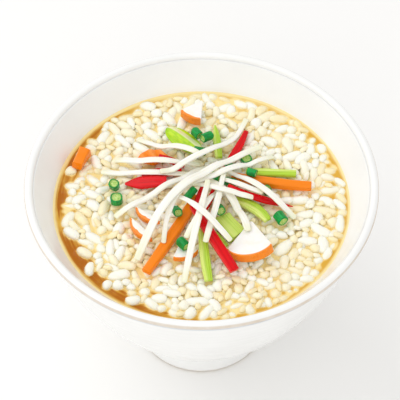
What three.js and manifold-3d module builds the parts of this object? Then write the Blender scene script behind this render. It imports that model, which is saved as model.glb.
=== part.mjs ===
// A bowl of congee: a deep white bowl on a foot ring, filled with rice in broth, under a loose tangle of toppings.
// Millimetres, +Z up. The origin is the centre of the foot's underside, and the eater sits on the -Y side.
//
// The toppings are laid one after another. Each comes down on the terrain of everything laid before it: limp
// shoots drape over it, and stiff pieces take the slope that lets their middle lie lowest.

import * as THREE from "three";
import { mergeVertices } from "three/addons/utils/BufferGeometryUtils.js";
import Module from "manifold-3d";

const wasm = await Module();
wasm.setup();

// ---- Driving dimensions ----
const BOWL_HEIGHT = 96;
const RIM_RADIUS = 75;
const LIP_RADIUS = 1.9; // of the rounded bead along the rim
const FOOT_RADIUS = 27;
const FOOT_HEIGHT = 15.5;
const FOOT_WALL = 4.5;
const FOOT_RECESS = 11; // depth of the hollow inside the foot ring
const BROTH_LEVEL = BOWL_HEIGHT - 14;
const RICE_RADIUS = 60.6;
const RICE_CROWN = 1.6; // the heap's middle above the broth
const RICE_SUNK = 12; // the heap's middle below the broth
const GAP = 0.3; // between pieces that rest on each other
const TURNS = 44; // facets round the bowl and its contents
const CELL = 0.4; // grid spacing of the terrain

const COLOURS = {
  porcelain: 0xf7f5ef,
  broth: 0xdca24a,
  rice: 0xf6ecd2,
  shoot: 0xf8f6ea,
  pepper: 0xc8101c,
  carrot: 0xf07a1a,
  fishcake: 0xfaf7f2,
  celery: 0xb4d43c,
  cucumber: 0xa8d424,
  scallion: 0x138a3e,
};

// ---- Outlines and helpers ----

// The solid of revolution about Z of a profile of [radius, height] points.
function turned(profile, turns = TURNS) {
  const points = profile.map(([radius, height]) => new THREE.Vector2(radius, height));
  return new THREE.LatheGeometry(points, turns).rotateX(Math.PI / 2);
}

// A smooth curve through [radius, height] points, as evenly spaced points.
function smooth(points, count) {
  const curve = new THREE.SplineCurve(points.map(([x, y]) => new THREE.Vector2(x, y)));
  return curve.getSpacedPoints(count).map((p) => [p.x, p.y]);
}

function toSolid(geometry) {
  const bare = geometry.clone();
  bare.deleteAttribute("normal");
  bare.deleteAttribute("uv");
  const merged = mergeVertices(bare, 1e-3);
  return new wasm.Manifold(
    new wasm.Mesh({
      numProp: 3,
      vertProperties: merged.getAttribute("position").array,
      triVerts: new Uint32Array(merged.index.array),
    }),
  );
}

function fromSolid(solid) {
  const mesh = solid.getMesh();
  const geometry = new THREE.BufferGeometry();
  geometry.setAttribute("position", new THREE.BufferAttribute(mesh.vertProperties, 3));
  geometry.setIndex(new THREE.BufferAttribute(mesh.triVerts, 1));
  geometry.computeVertexNormals();
  return geometry;
}

function reshaped(geometry, move) {
  const position = geometry.getAttribute("position");
  const point = new THREE.Vector3();
  for (let i = 0; i < position.count; i++) {
    move(point.fromBufferAttribute(position, i));
    position.setXYZ(i, point.x, point.y, point.z);
  }
  geometry.computeVertexNormals();
  return geometry;
}

const toppings = new THREE.Group();
const contents = new THREE.Group();
const dish = new THREE.Group();

function add(group, name, geometry, colour, roughness) {
  const material = new THREE.MeshStandardMaterial({ color: colour, roughness, metalness: 0 });
  const mesh = new THREE.Mesh(geometry, material);
  mesh.name = name;
  group.add(mesh);
  return mesh;
}

// ---- The bowl ----

const INNER_WALL = [
  [71.2, 94.6],
  [66.5, 87.5],
  [62.7, 81.5],
  [58.4, 71],
  [53.2, 59],
  [46.2, 45.6],
  [36.5, 33],
  [22, 24],
  [0, 21],
];
const OUTER_WALL = [
  [FOOT_RADIUS - 0.6, FOOT_HEIGHT],
  [39.5, 25.4],
  [49, 37.4],
  [56.6, 50.4],
  [62.7, 62.7],
  [67.6, 74.9],
  [71.6, 86],
  [73.2, 91],
];

const INNER_LINE = smooth(INNER_WALL, 9);

// Up the outside from the foot, over the rolled lip, down the inside, and under the foot.
function bowlProfile() {
  const lipCentre = [RIM_RADIUS - LIP_RADIUS, BOWL_HEIGHT - LIP_RADIUS];
  const lip = [];
  for (let degrees = -50; degrees <= 170; degrees += 55) {
    const angle = THREE.MathUtils.degToRad(degrees);
    lip.push([lipCentre[0] + LIP_RADIUS * Math.cos(angle), lipCentre[1] + LIP_RADIUS * Math.sin(angle)]);
  }
  return [
    [0, FOOT_RECESS],
    [FOOT_RADIUS - FOOT_WALL - 1, FOOT_RECESS],
    [FOOT_RADIUS - FOOT_WALL, 0],
    [FOOT_RADIUS, 0],
    [FOOT_RADIUS + 0.3, 1],
    ...smooth(OUTER_WALL, 8),
    ...lip,
    ...INNER_LINE,
  ];
}

// The inner wall's radius at a height.
function innerRadius(height) {
  const below = INNER_LINE.findIndex(([, z]) => z <= height);
  const [r1, z1] = INNER_LINE[below - 1];
  const [r2, z2] = INNER_LINE[below];
  return THREE.MathUtils.mapLinear(height, z1, z2, r1, r2);
}

// ---- Rice and broth ----

// The heap's edge wanders in and out, and is drawn in where the broth lies open on the left of the eater.
function riceEdge(angle) {
  const open = Math.max(0, Math.cos(angle + 2.55)) ** 4;
  return 1 + 0.012 * Math.sin(3 * angle + 0.6) + 0.009 * Math.sin(8 * angle + 2) - 0.035 * open;
}

function riceBumps(x, y) {
  return 0.3 * Math.sin(x / 3.7 + 1.3) * Math.cos(y / 4.3) + 0.2 * Math.sin(x / 7.9 - y / 6.1);
}

// A lens that stands a little above the broth and well below it. grow makes it larger all round.
function riceHeap(grow) {
  const rings = 6;
  const low = [];
  const high = [];
  for (let i = 0; i <= rings; i++) {
    const share = Math.sin(((i / rings) * Math.PI) / 2);
    const radius = share * (RICE_RADIUS + grow);
    low.push([radius, BROTH_LEVEL - 0.5 - grow - RICE_SUNK * (1 - share ** 2)]);
    high.unshift([radius, BROTH_LEVEL + 0.5 + grow + RICE_CROWN * (1 - share ** 4)]);
  }
  return reshaped(turned([...low, ...high]), (p) => {
    const edge = riceEdge(Math.atan2(p.y, p.x));
    p.x *= edge;
    p.y *= edge;
    if (p.z > BROTH_LEVEL) p.z += riceBumps(p.x, p.y);
  });
}

function brothBody() {
  const floor = INNER_LINE.filter(([, z]) => z + GAP < BROTH_LEVEL).reverse();
  const wall = floor.map(([r, z]) => [Math.max(0, r - GAP), z + GAP]);
  const full = turned([...wall, [innerRadius(BROTH_LEVEL) - GAP, BROTH_LEVEL], [0, BROTH_LEVEL]]);
  return fromSolid(toSolid(full).subtract(toSolid(riceHeap(GAP))));
}

// ---- The terrain that pieces are laid on ----

const SPAN = RIM_RADIUS + 1;
const CELLS = Math.ceil((2 * SPAN) / CELL);
const terrain = new Float32Array(CELLS * CELLS);

function cellOf(value) {
  return Math.round((value + SPAN) / CELL);
}

function heightAt(x, y) {
  return terrain[cellOf(y) * CELLS + cellOf(x)];
}

// Calls visit(column, row, z) wherever the vertical line through a grid point meets a face of the mesh.
function eachCrossing(geometry, visit) {
  const flat = geometry.index ? geometry.toNonIndexed() : geometry;
  const position = flat.getAttribute("position");
  const corners = [new THREE.Vector3(), new THREE.Vector3(), new THREE.Vector3()];
  const at = new THREE.Vector3();
  const weights = new THREE.Vector3();
  for (let i = 0; i < position.count; i += 3) {
    corners.forEach((corner, k) => corner.fromBufferAttribute(position, i + k));
    const [a, b, c] = corners;
    const heights = [a.z, b.z, c.z];
    const first = [cellOf(Math.min(a.x, b.x, c.x)), cellOf(Math.min(a.y, b.y, c.y))];
    const last = [cellOf(Math.max(a.x, b.x, c.x)), cellOf(Math.max(a.y, b.y, c.y))];
    corners.forEach((corner) => (corner.z = 0));
    for (let row = first[1]; row <= last[1]; row++) {
      for (let column = first[0]; column <= last[0]; column++) {
        at.set(column * CELL - SPAN, row * CELL - SPAN, 0);
        if (!THREE.Triangle.getBarycoord(at, a, b, c, weights)) continue;
        if (Math.min(weights.x, weights.y, weights.z) < -0.01) continue;
        visit(column, row, weights.x * heights[0] + weights.y * heights[1] + weights.z * heights[2]);
      }
    }
  }
}

// Raises the terrain to the top of a mesh, and one cell beyond its outline, which keeps a gap beside it too.
function cover(geometry) {
  eachCrossing(geometry, (column, row, z) => {
    for (const [dx, dy] of [[0, 0], [1, 0], [-1, 0], [0, 1], [0, -1]]) {
      const cell = (row + dy) * CELLS + column + dx;
      terrain[cell] = Math.max(terrain[cell], z);
    }
  });
}

// How far a mesh has to rise to clear the terrain.
function clearance(geometry) {
  let lift = -Infinity;
  eachCrossing(geometry, (column, row, z) => {
    lift = Math.max(lift, terrain[row * CELLS + column] - z);
  });
  return lift + GAP;
}

// ---- Long pieces ----

const CHECKS = 120; // points along a piece at which the ground under it is measured

// Along a bowed plan from one [x, y] end to the other: where it runs, and how high its middle line has to be there
// to clear the ground. half(along) gives the piece's half width and half thickness, and boxy pieces have flat undersides.
function groundUnder({ from, to, bow = 0 }, half, boxy) {
  const start = new THREE.Vector2(...from);
  const end = new THREE.Vector2(...to);
  const chord = end.clone().sub(start);
  const aside = new THREE.Vector2(chord.y, -chord.x).normalize();
  const control = start.clone().add(end).multiplyScalar(0.5).addScaledVector(aside, 2 * bow);
  const plan = new THREE.QuadraticBezierCurve(start, control, end);
  const points = [];
  for (let i = 0; i <= CHECKS; i++) {
    const along = i / CHECKS;
    const p = plan.getPointAt(along);
    const heading = plan.getTangentAt(along);
    const [halfWidth, halfThickness] = half(along);
    let need = -Infinity;
    for (let q = -1; q <= 1; q += 0.2) {
      const x = p.x + heading.y * q * halfWidth;
      const y = p.y - heading.x * q * halfWidth;
      const belly = boxy ? 1 : Math.sqrt(Math.max(0, 1 - q * q));
      need = Math.max(need, heightAt(x, y) + belly * halfThickness + GAP);
    }
    points.push({ p, need });
  }
  return { points, length: plan.getLength() };
}

// A limp piece hangs in arcs of one tightest bend from the points that hold it up.
function draped(plan, half, limpness) {
  const { points, length } = groundUnder(plan, half, false);
  const step = length / CHECKS;
  return points.map(({ p }, i) => {
    const z = Math.max(...points.map((other, j) => other.need - limpness * ((i - j) * step) ** 2));
    return new THREE.Vector3(p.x, p.y, z);
  });
}

// A stiff piece lies straight, at the slope that lets its middle lie lowest.
function straight(plan, half) {
  const { points, length } = groundUnder(plan, half, true);
  const reach = (i) => (i / CHECKS - 0.5) * length;
  let best = { middle: Infinity, slope: 0 };
  for (let slope = -0.5; slope <= 0.5; slope += 0.005) {
    const middle = Math.max(...points.map(({ need }, i) => need - slope * reach(i)));
    if (middle < best.middle) best = { middle, slope };
  }
  return points.map(({ p }, i) => new THREE.Vector3(p.x, p.y, best.middle + best.slope * reach(i)));
}

// A closed bar: a cylinder whose rings are carried along a line of points. square is 1 for a round section and
// falls towards 0 for a square one.
function bar(line, half, sides, steps, square) {
  const geometry = new THREE.CylinderGeometry(1, 1, 1, sides, steps, false, Math.PI / 2);
  const up = new THREE.Vector3();
  const side = new THREE.Vector3();
  const squared = (v) => Math.sign(v) * Math.abs(v) ** square;
  return reshaped(geometry, (p) => {
    const along = p.y + 0.5;
    const i = Math.round(along * CHECKS);
    const forward = line[Math.min(i + 1, CHECKS)].clone().sub(line[Math.max(i - 1, 0)]).normalize();
    side.crossVectors(forward, THREE.Object3D.DEFAULT_UP.set(0, 0, 1)).normalize();
    up.crossVectors(side, forward);
    const [halfWidth, halfThickness] = half(along);
    const across = squared(p.x) * halfWidth;
    const over = squared(p.z) * halfThickness;
    p.copy(line[i]).addScaledVector(side, across).addScaledVector(up, over);
  });
}

// Lays a bar, adds it with its middle as its place, and raises the terrain.
function layBar(name, geometry, colour, roughness) {
  cover(geometry);
  geometry.computeBoundingBox();
  const middle = geometry.boundingBox.getCenter(new THREE.Vector3());
  geometry.translate(-middle.x, -middle.y, -middle.z);
  add(toppings, name, geometry, colour, roughness).position.copy(middle);
}

// ---- Short pieces ----

const TILTS = [-0.24, -0.16, -0.08, 0, 0.08, 0.16, 0.24];

// Drops a piece, made lying round its own origin, at [x, y]: turned about Z, leaned over, and tilted a little
// whichever way lets its middle lie lowest.
function drop(name, geometry, colour, roughness, { at, turn = 0, lean = 0 }) {
  const place = new THREE.Matrix4();
  let best = { z: Infinity };
  for (const pitch of TILTS) {
    for (const roll of TILTS) {
      const rotation = new THREE.Euler(lean + pitch, roll, turn, "ZYX");
      place.makeRotationFromEuler(rotation).setPosition(at[0], at[1], 0);
      const z = clearance(geometry.clone().applyMatrix4(place));
      if (z < best.z) best = { z, rotation };
    }
  }
  const mesh = add(toppings, name, geometry, colour, roughness);
  mesh.position.set(at[0], at[1], best.z);
  mesh.rotation.copy(best.rotation);
  mesh.updateMatrix();
  cover(geometry.clone().applyMatrix4(mesh.matrix));
}

// A flat shape with a soft edge, centred on the origin in height.
function slab(shape, thickness, curveSegments = 5) {
  const soft = 0.35;
  const geometry = new THREE.ExtrudeGeometry(shape, {
    depth: thickness - 2 * soft,
    bevelSize: soft,
    bevelOffset: -soft,
    bevelThickness: soft,
    bevelSegments: 1,
    curveSegments,
  });
  return geometry.translate(0, 0, soft - thickness / 2);
}

// A wedge of a round slice, with its point on -Y and its rind on +Y. The point lies beyond the arc's centre by reach.
function sector(radius, spread, reach = 0) {
  const half = spread / 2;
  const middle = (reach - radius) / 2;
  const shape = new THREE.Shape();
  shape.moveTo(0, middle - reach);
  shape.lineTo(radius * Math.sin(half), middle + radius * Math.cos(half));
  shape.absarc(0, middle, radius, Math.PI / 2 - half, Math.PI / 2 + half, false);
  shape.closePath();
  return shape;
}

// The part of a round slice beyond a chord, with its rind on +Y.
function halfMoon(radius, spread) {
  const half = spread / 2;
  const middle = (radius * (1 + Math.cos(half))) / 2;
  const shape = new THREE.Shape();
  shape.moveTo(-radius * Math.sin(half), radius * Math.cos(half) - middle);
  shape.quadraticCurveTo(0, -radius * 0.32, radius * Math.sin(half), radius * Math.cos(half) - middle);
  shape.absarc(0, -middle, radius, Math.PI / 2 - half, Math.PI / 2 + half, false);
  return shape;
}

// ---- Placing everything ----

add(dish, "bowl", turned(bowlProfile()), COLOURS.porcelain, 0.15);
add(contents, "broth", brothBody(), COLOURS.broth, 0.1);
add(contents, "rice", riceHeap(0), COLOURS.rice, 0.45);
for (const mesh of [...dish.children, ...contents.children]) cover(mesh.geometry);

// Fish cake cut in wedges, white inside an orange rind.
const FISHCAKES = [
  { name: "fishcake_far", radius: 11.5, spread: 0.95, thick: 4.4, at: [-2.4, 48.8], turn: 2.6, lean: 0.1 },
  { name: "fishcake_small", radius: 9, spread: 1.4, thick: 2.6, at: [-7.4, -27.6], turn: 3.5 },
];
// Half-moons of the same, cut off a round slice's edge.
const HALF_MOONS = [
  { name: "fishcake_left_back", radius: 8.5, spread: 1.8, thick: 2.6, at: [-23.6, -9.6], turn: 2.5 },
  { name: "fishcake_left_front", radius: 9.5, spread: 1.8, thick: 3.2, at: [-26.6, -17.4], turn: 2.26, lean: 0.1 },
];
// Bars of vegetable, from one end to the other. taper gives the size left at each end.
const CARROT = { colour: COLOURS.carrot, roughness: 0.4, square: 0.4 };
const CELERY = { colour: COLOURS.celery, roughness: 0.35, square: 0.7 };
const PEPPER = { colour: COLOURS.pepper, roughness: 0.25, square: 0.6 };
const BARS_BELOW = [
  { name: "celery_far", ...CELERY, from: [5.8, 41.5], to: [7.5, 23], wide: 3.4, thick: 2, taper: [0.2, 0.9] },
  { name: "celery_right", ...CELERY, from: [40.2, 14.4], to: [19, 15.6], wide: 3.8, thick: 2, taper: [0.95, 0.9] },
  { name: "celery_near", ...CELERY, from: [3, -43], to: [0.2, -17.5], bow: -0.4, wide: 4.2, thick: 2.4, taper: [0.85, 0.8] },
  { name: "celery_sliver", ...CELERY, from: [10.6, -24.4], to: [4, -15.6], wide: 2.4, thick: 1.5, taper: [0.8, 0.6] },
  { name: "celery_end", ...CELERY, from: [28, -10.8], to: [13, 0.4], bow: 1.8, wide: 5, thick: 2.4, taper: [0.7, 0.5] },
];
const BARS_ABOVE = [
  { name: "pepper_far", ...PEPPER, from: [19.2, 38.4], to: [10, 19], bow: -0.8, wide: 3.4, thick: 1.6, taper: [0.6, 0.7] },
  { name: "pepper_left_back", ...PEPPER, from: [-18, 21], to: [-7.4, 19.4], wide: 3.2, thick: 1.6, taper: [0.6, 0.8] },
  { name: "pepper_left", ...PEPPER, from: [-25.4, 14.6], to: [-8.6, 15.6], wide: 4.6, thick: 1.8, taper: [0.5, 0.8] },
  { name: "pepper_left_front", ...PEPPER, from: [-32.4, 9.6], to: [-15, 9], wide: 6.4, thick: 2, taper: [0.2, 0.75] },
  { name: "pepper_right", ...PEPPER, from: [38.6, -2.4], to: [11.2, 3.4], bow: -1, wide: 3.2, thick: 1.8, taper: [0.12, 0.9] },
  { name: "pepper_near", ...PEPPER, from: [13.8, -39.6], to: [-4, -10.6], wide: 4.8, thick: 2.6, taper: [0.85, 0.5] },
  { name: "carrot_right", ...CARROT, from: [46.6, 7.4], to: [13, 13], bow: -1, wide: 4, thick: 2.8, taper: [0.9, 0.75] },
  { name: "carrot_near", ...CARROT, from: [-23.2, -38.6], to: [-2, 1], bow: 0.6, wide: 4.4, thick: 2.8, taper: [0.85, 0.9] },
  { name: "pepper_middle", ...PEPPER, from: [0.6, 5.4], to: [-3.4, -8.6], wide: 2.2, thick: 1.6, taper: [0.7, 0.7] },
  { name: "pepper_middle_right", ...PEPPER, from: [5, 5.6], to: [2.2, -5], wide: 2.4, thick: 1.5, taper: [0.7, 0.4] },
];
// Chopped scallion: short lengths, standing (lean 0) or on their sides (lean of a quarter turn).
const ON_SIDE = Math.PI / 2;
const SCALLIONS = [
  { at: [-2, 34.4], turn: 0.6, lean: ON_SIDE, wide: 4.2, long: 4 },
  { at: [2.2, 32], turn: -0.9, lean: ON_SIDE, wide: 4.4, long: 4.8 },
  { at: [19, 21.4], turn: 0.2, lean: 0.5, wide: 5.2, long: 3.4 },
  { at: [21.4, 12], turn: 1.2, lean: ON_SIDE, wide: 4, long: 4 },
  { at: [27.8, 4.4], turn: 0, lean: 0.6, wide: 4.2, long: 3.6 },
  { at: [33.4, -10.4], turn: 0.5, lean: ON_SIDE, wide: 5, long: 5 },
  { at: [-37.1, 7.2], turn: 0.3, lean: 0.5, wide: 4.8, long: 4.2 },
  { at: [-36, -0.4], turn: -0.2, lean: 0.4, wide: 5.6, long: 3.8 },
  { at: [-4.9, -0.8], turn: -0.75, lean: ON_SIDE, wide: 3.8, long: 6.6 },
  { at: [-10.4, -9.4], turn: 0.4, lean: 0.9, wide: 4.4, long: 3.8 },
  { at: [-7.8, -26.6], turn: 0.7, lean: ON_SIDE, wide: 4.6, long: 4.8 },
  { at: [7.8, -8.6], turn: 0.2, lean: 0.8, wide: 4.4, long: 3.8 },
  { at: [12.1, 9.4], turn: 1.35, lean: ON_SIDE, wide: 3.6, long: 5.4 },
  { at: [-0.6, 24.2], turn: 1.5, lean: ON_SIDE, wide: 3.6, long: 5.4 },
  { at: [11.8, 18], turn: 0.9, lean: ON_SIDE, wide: 3.4, long: 4.2 },
  { at: [6.2, 12.6], turn: 0.9, lean: ON_SIDE, wide: 3.4, long: 4.2 },
];
// Bean shoots, from the blunt end to the thin one. The first are laid first.
const SHOOTS = [
  { from: [25.6, 1.4], to: [8.7, 7.6], bow: -0.5, wide: 2.6 },
  { from: [-6.3, -25.6], to: [7, 4.5], bow: 0.9, wide: 2.7 },
  { from: [19.4, -20.4], to: [2.8, 8.2], bow: 3.2, wide: 3.3 },
  { from: [1.7, -28.4], to: [9.6, 11.4], bow: 0.6, wide: 2.8 },
  { from: [-36.3, 22.2], to: [-1.4, 19.4], bow: 2.4, wide: 2.9 },
  { from: [-42.4, 16.4], to: [-6, 13.4], bow: 1, wide: 2.8 },
  { from: [21.4, -2.4], to: [-3.2, 5], bow: -1.8, wide: 2.7 },
  { from: [-0.6, 20.4], to: [-26.8, 34.3], bow: 0.4, wide: 2.9 },
  { from: [39.3, -8.8], to: [9.6, 15.4], bow: 0.2, wide: 2.8 },
  { from: [-7.3, -43], to: [2.6, 3.6], bow: 0.8, wide: 3 },
  { from: [12, -27.6], to: [-10.7, -4.6], bow: -0.4, wide: 2.8 },
  { from: [-36.2, -8.6], to: [2.8, 18.6], bow: 0.4, wide: 2.9 },
  { from: [-5.7, 3], to: [30.3, 24.2], bow: 1.2, wide: 2.8 },
  { from: [-17.2, 12.9], to: [19.2, 45.6], bow: 7, wide: 2.9 },
  { from: [-5, 1.6], to: [-15.9, -24.4], bow: 2.4, wide: 2.7 },
  { from: [-26.9, -31.6], to: [25.2, 27.2], bow: -5.6, wide: 3.7 },
];
const SHOOT_FLATNESS = 0.48; // thickness as a share of width
const SHOOT_LIMPNESS = 0.03; // per mm: half the tightest curvature

for (const { name, radius, spread, thick, ...place } of FISHCAKES)
  drop(name, slab(sector(radius, spread), thick), COLOURS.fishcake, 0.5, place);
for (const { name, radius, spread, thick, ...place } of HALF_MOONS)
  drop(name, slab(halfMoon(radius, spread), thick), COLOURS.fishcake, 0.5, place);

// A block of carrot afloat by the wall, and half a carrot slice among the peppers.
const block = new THREE.CylinderGeometry(2.6, 2.3, 8.6, 8, 2);
drop("carrot_block", block, COLOURS.carrot, 0.4, { at: [-51.4, 22.4], turn: -0.4 });
drop("carrot_slice", slab(sector(7.4, 2.3), 3, 8), COLOURS.carrot, 0.4, { at: [-20.8, 23], turn: 0.1, lean: 0.25 });

// A cucumber wedge: skin below and to one side, its cut faces meeting in a ridge.
const cucumber = reshaped(new THREE.SphereGeometry(1, 12, 8).rotateY(Math.PI / 2), (p) => {
  p.set(10.5 * p.x, 4.6 * p.y, p.z > 0 ? 2.9 * p.z * (1 - Math.min(1, Math.abs(p.y + 0.15)) * 0.8) : 1.6 * p.z);
});
drop("cucumber_wedge", cucumber, COLOURS.cucumber, 0.3, { at: [-7.6, 32.6], turn: -0.8 });

// How much of a bar's full size is left along it, easing in from each end over a fifth of its length.
function tapering([start, end], along) {
  const ease = (from, distance) => THREE.MathUtils.lerp(from, 1, THREE.MathUtils.smoothstep(distance, 0, 0.35));
  return Math.min(ease(start, along), ease(end, 1 - along));
}

function layStiff({ name, colour, roughness, square, wide, thick, taper, ...plan }) {
  const half = (along) => [(tapering(taper, along) * wide) / 2, (tapering(taper, along) * thick) / 2];
  layBar(name, bar(straight(plan, half), half, 8, 5, square), colour, roughness);
}

BARS_BELOW.forEach(layStiff);

// A ribbed slab cut across a celery stalk, arched, with its ribs along it.
const RIBS = 5;
const STALK = { wide: 9, thick: 2, long: 12.4, arch: 0.8 };
const arch = (across) => STALK.arch * (1 - across ** 2);
const stalk = [];
for (let i = 0; i <= 2 * RIBS; i++) {
  const across = 1 - i / RIBS;
  const rib = i % 2 ? 0.25 : 0;
  stalk.push(new THREE.Vector2((across * STALK.wide) / 2, arch(across) + rib + STALK.thick / 2));
}
for (const across of [-1, -0.5, 0, 0.5, 1])
  stalk.push(new THREE.Vector2((across * STALK.wide) / 2, arch(across) - STALK.thick / 2));
const ribbed = new THREE.ExtrudeGeometry(new THREE.Shape(stalk), { depth: STALK.long, bevelEnabled: false });
ribbed.translate(0, 0, -STALK.long / 2).rotateX(Math.PI / 2);
drop("celery_slab", ribbed, COLOURS.celery, 0.35, { at: [11.8, -14.8], turn: 0.62 });

drop("fishcake_big", slab(sector(12.5, 1.85, 8), 4.4, 8), COLOURS.fishcake, 0.5, { at: [20.8, -24.2], turn: 3.1 });

BARS_ABOVE.forEach(layStiff);

SCALLIONS.forEach(({ wide, long, ...place }, i) => {
  const cut = new THREE.CylinderGeometry(wide / 2, wide / 2, long, 10).rotateX(Math.PI / 2);
  drop(`scallion_${i + 1}`, cut, COLOURS.scallion, 0.3, place);
});

SHOOTS.forEach(({ wide, ...plan }, i) => {
  const size = (along) => THREE.MathUtils.lerp(0.9, 1, Math.min(1, along / 0.1)) * Math.min(1, 2 * (1 - along) + 0.3);
  const half = (along) => [(size(along) * wide) / 2, (size(along) * wide * SHOOT_FLATNESS) / 2];
  const shoot = bar(draped(plan, half, SHOOT_LIMPNESS), half, 6, 10, 1);
  layBar(`shoot_${i + 1}`, shoot, COLOURS.shoot, 0.35);
});

const congeeBowl = new THREE.Group();
congeeBowl.add(dish, contents, toppings);

export default congeeBowl;
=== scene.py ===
"""A bowl of congee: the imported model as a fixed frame, and the fine surfaces and finishes that stand on it.

Metres, +Z up, the eater on the -Y side. Laid out as an add-on and run as a script.
"""

import functools
import itertools
import math

import bpy
import numpy as np
from bpy.props import FloatProperty, FloatVectorProperty, IntProperty, PointerProperty
from bpy.types import Operator, Panel, PropertyGroup
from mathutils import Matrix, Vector


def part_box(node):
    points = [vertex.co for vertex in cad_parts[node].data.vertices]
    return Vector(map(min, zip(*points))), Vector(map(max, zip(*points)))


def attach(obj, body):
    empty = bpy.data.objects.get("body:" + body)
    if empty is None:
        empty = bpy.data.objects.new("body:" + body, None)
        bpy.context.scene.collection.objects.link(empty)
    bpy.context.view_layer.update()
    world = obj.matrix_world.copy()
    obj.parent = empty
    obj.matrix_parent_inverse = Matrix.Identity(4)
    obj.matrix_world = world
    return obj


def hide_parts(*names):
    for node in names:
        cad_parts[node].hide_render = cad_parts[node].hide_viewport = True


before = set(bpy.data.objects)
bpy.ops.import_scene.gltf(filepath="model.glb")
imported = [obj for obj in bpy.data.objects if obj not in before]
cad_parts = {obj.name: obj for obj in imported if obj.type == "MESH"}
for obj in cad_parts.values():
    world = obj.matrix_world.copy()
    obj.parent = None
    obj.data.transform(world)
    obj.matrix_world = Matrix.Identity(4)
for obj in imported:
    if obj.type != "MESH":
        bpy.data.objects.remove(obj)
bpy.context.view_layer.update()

bl_info = {
    "name": "Congee Bowl",
    "version": (1, 0, 0),
    "blender": (4, 5, 0),
    "location": "View3D > Sidebar > Congee",
    "description": "Builds a bowl of congee with its toppings on a packed model",
    "category": "Add Mesh",
}

MM = 0.001
UP = np.array([0.0, 0.0, 1.0])

BROTH_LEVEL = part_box("broth")[1].z
RIM_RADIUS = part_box("bowl")[1].x
RIM_HEIGHT = BROTH_LEVEL + 14 * MM
TOPPING_KINDS = ("shoot", "pepper", "carrot", "celery", "cucumber", "fishcake", "scallion")


def nodes_of(kind):
    """The names of the CAD pieces of a kind, in a fixed order."""
    return sorted((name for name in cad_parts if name.startswith(kind)), key=lambda n: (len(n), n))


def colour(red, green, blue):
    """A colour as eight-bit display values, turned into the linear values that shaders take."""
    shares = [value / 255 for value in (red, green, blue)]
    return tuple(s / 12.92 if s <= 0.04045 else ((s + 0.055) / 1.055) ** 2.4 for s in shares)


# ---- Sizes and colours that a user would change ----


def length(name, default, description):
    """A size that a user would change, its default in millimetres."""
    return FloatProperty(name=name, description=description, default=default * MM, unit="LENGTH", precision=4)


def paint(name, default, description):
    """A colour that a user would change, its default in eight-bit display values."""
    return FloatVectorProperty(
        name=name, description=description, default=colour(*default), subtype="COLOR", size=3, min=0, max=1
    )


class CongeeBowlSizes(PropertyGroup):
    lip_radius: length("Lip radius", 1.9, "Radius of the rounded bead along the rim")
    ring_depth: length("Throwing rings", 0.02, "Height of the faint rings that turning leaves in the wall")
    meniscus: length("Meniscus", 0.45, "How far the broth climbs the wall and the grains")


class CongeeRiceSizes(PropertyGroup):
    grain_length: length("Grain length", 7.2, "Length of a usual cooked grain")
    grain_width: length("Grain width", 4.6, "Width of a usual cooked grain")
    swell: length("Heap swell", 1.2, "How far grains may stand above the heap's outline where nothing lies on them")
    tries: IntProperty(name="Tries", description="Grains dropped, of which the low ones stay", default=24000)
    seed: IntProperty(name="Seed", description="Which of the many heaps is made", default=11)


class CongeeToppingSizes(PropertyGroup):
    rind: length("Rind", 0.7, "How far the fish cake's orange rind shows on its faces")
    hollow: length("Scallion hollow", 0.7, "How far the core lies back in a cut scallion")
    stalk_rib: length("Celery rib", 0.16, "Height of the ribs along a celery stalk")


class CongeeColours(PropertyGroup):
    porcelain: paint("Porcelain", (249, 249, 247), "White glaze")
    broth_shallow: paint("Shallow broth", (252, 231, 166), "Broth where rice or wall lies just below")
    broth_gold: paint("Gold broth", (224, 172, 62), "Broth a few millimetres deep")
    broth_amber: paint("Amber broth", (180, 102, 0), "Broth where it stands deepest")
    rice: paint("Rice", (255, 253, 238), "Cooked grains")
    shoot: paint("Bean shoot", (255, 253, 243), "Crisp white shoots")
    pepper: paint("Red pepper", (228, 0, 14), "Pepper skin")
    carrot: paint("Carrot", (255, 136, 0), "Carrot flesh")
    celery: paint("Celery", (186, 228, 36), "Celery and other light green stalks")
    cucumber: paint("Cucumber", (164, 212, 0), "Skin of the green wedge")
    scallion: paint("Scallion", (2, 124, 50), "Scallion leaf")
    cake: paint("Fish cake", (252, 250, 245), "White inside of the fish cake")
    rind: paint("Rind", (255, 140, 0), "Orange outside of the fish cake")
    ground: paint("Floor", (250, 249, 247), "Plain floor")


def settings(part):
    """The values of one of the property groups."""
    return getattr(bpy.context.scene, "congee_" + part)


# ---- Points on curves ----


def flow(points, count):
    """A curve through the rows of an array, evenly spaced in its parameter. Each span is the cubic that leaves and
    meets its two points with half the step between their neighbours; past its ends the line is carried straight on."""
    points = np.asarray(points, float)
    ends = np.vstack([2 * points[0] - points[1], points, 2 * points[-1] - points[-2]])
    place = np.linspace(0, len(points) - 1, count)
    span = np.minimum(place.astype(int), len(points) - 2)
    f = (place - span)[:, None]
    a, b, c, d = (ends[span + k] for k in range(4))
    return 0.5 * (2 * b + (c - a) * f + (2 * a - 5 * b + 4 * c - d) * f**2 + (3 * (b - c) + d - a) * f**3)


def unit(vectors):
    """Vectors of the same ways, each of length 1."""
    return vectors / np.linalg.norm(vectors, axis=-1, keepdims=True)


def wander(along, rng, waves=3):
    """A gentle random line between about -1 and 1: a sum of sines of rising frequency and falling height."""
    line = np.zeros_like(along)
    for i in range(1, waves + 1):
        line = line + np.sin(along * i * rng.uniform(4, 7) + rng.uniform(0, 6.3)) / i
    return line / 1.6


def ease(value, start, end):
    """0 up to start, 1 from end on, and a smooth S between them."""
    share = np.clip((value - start) / (end - start), 0, 1)
    return share * share * (3 - 2 * share)


def bell(value, width):
    """1 at 0 and falling off to either side, to about a third at width."""
    return np.exp(-((value / width) ** 2))


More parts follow.
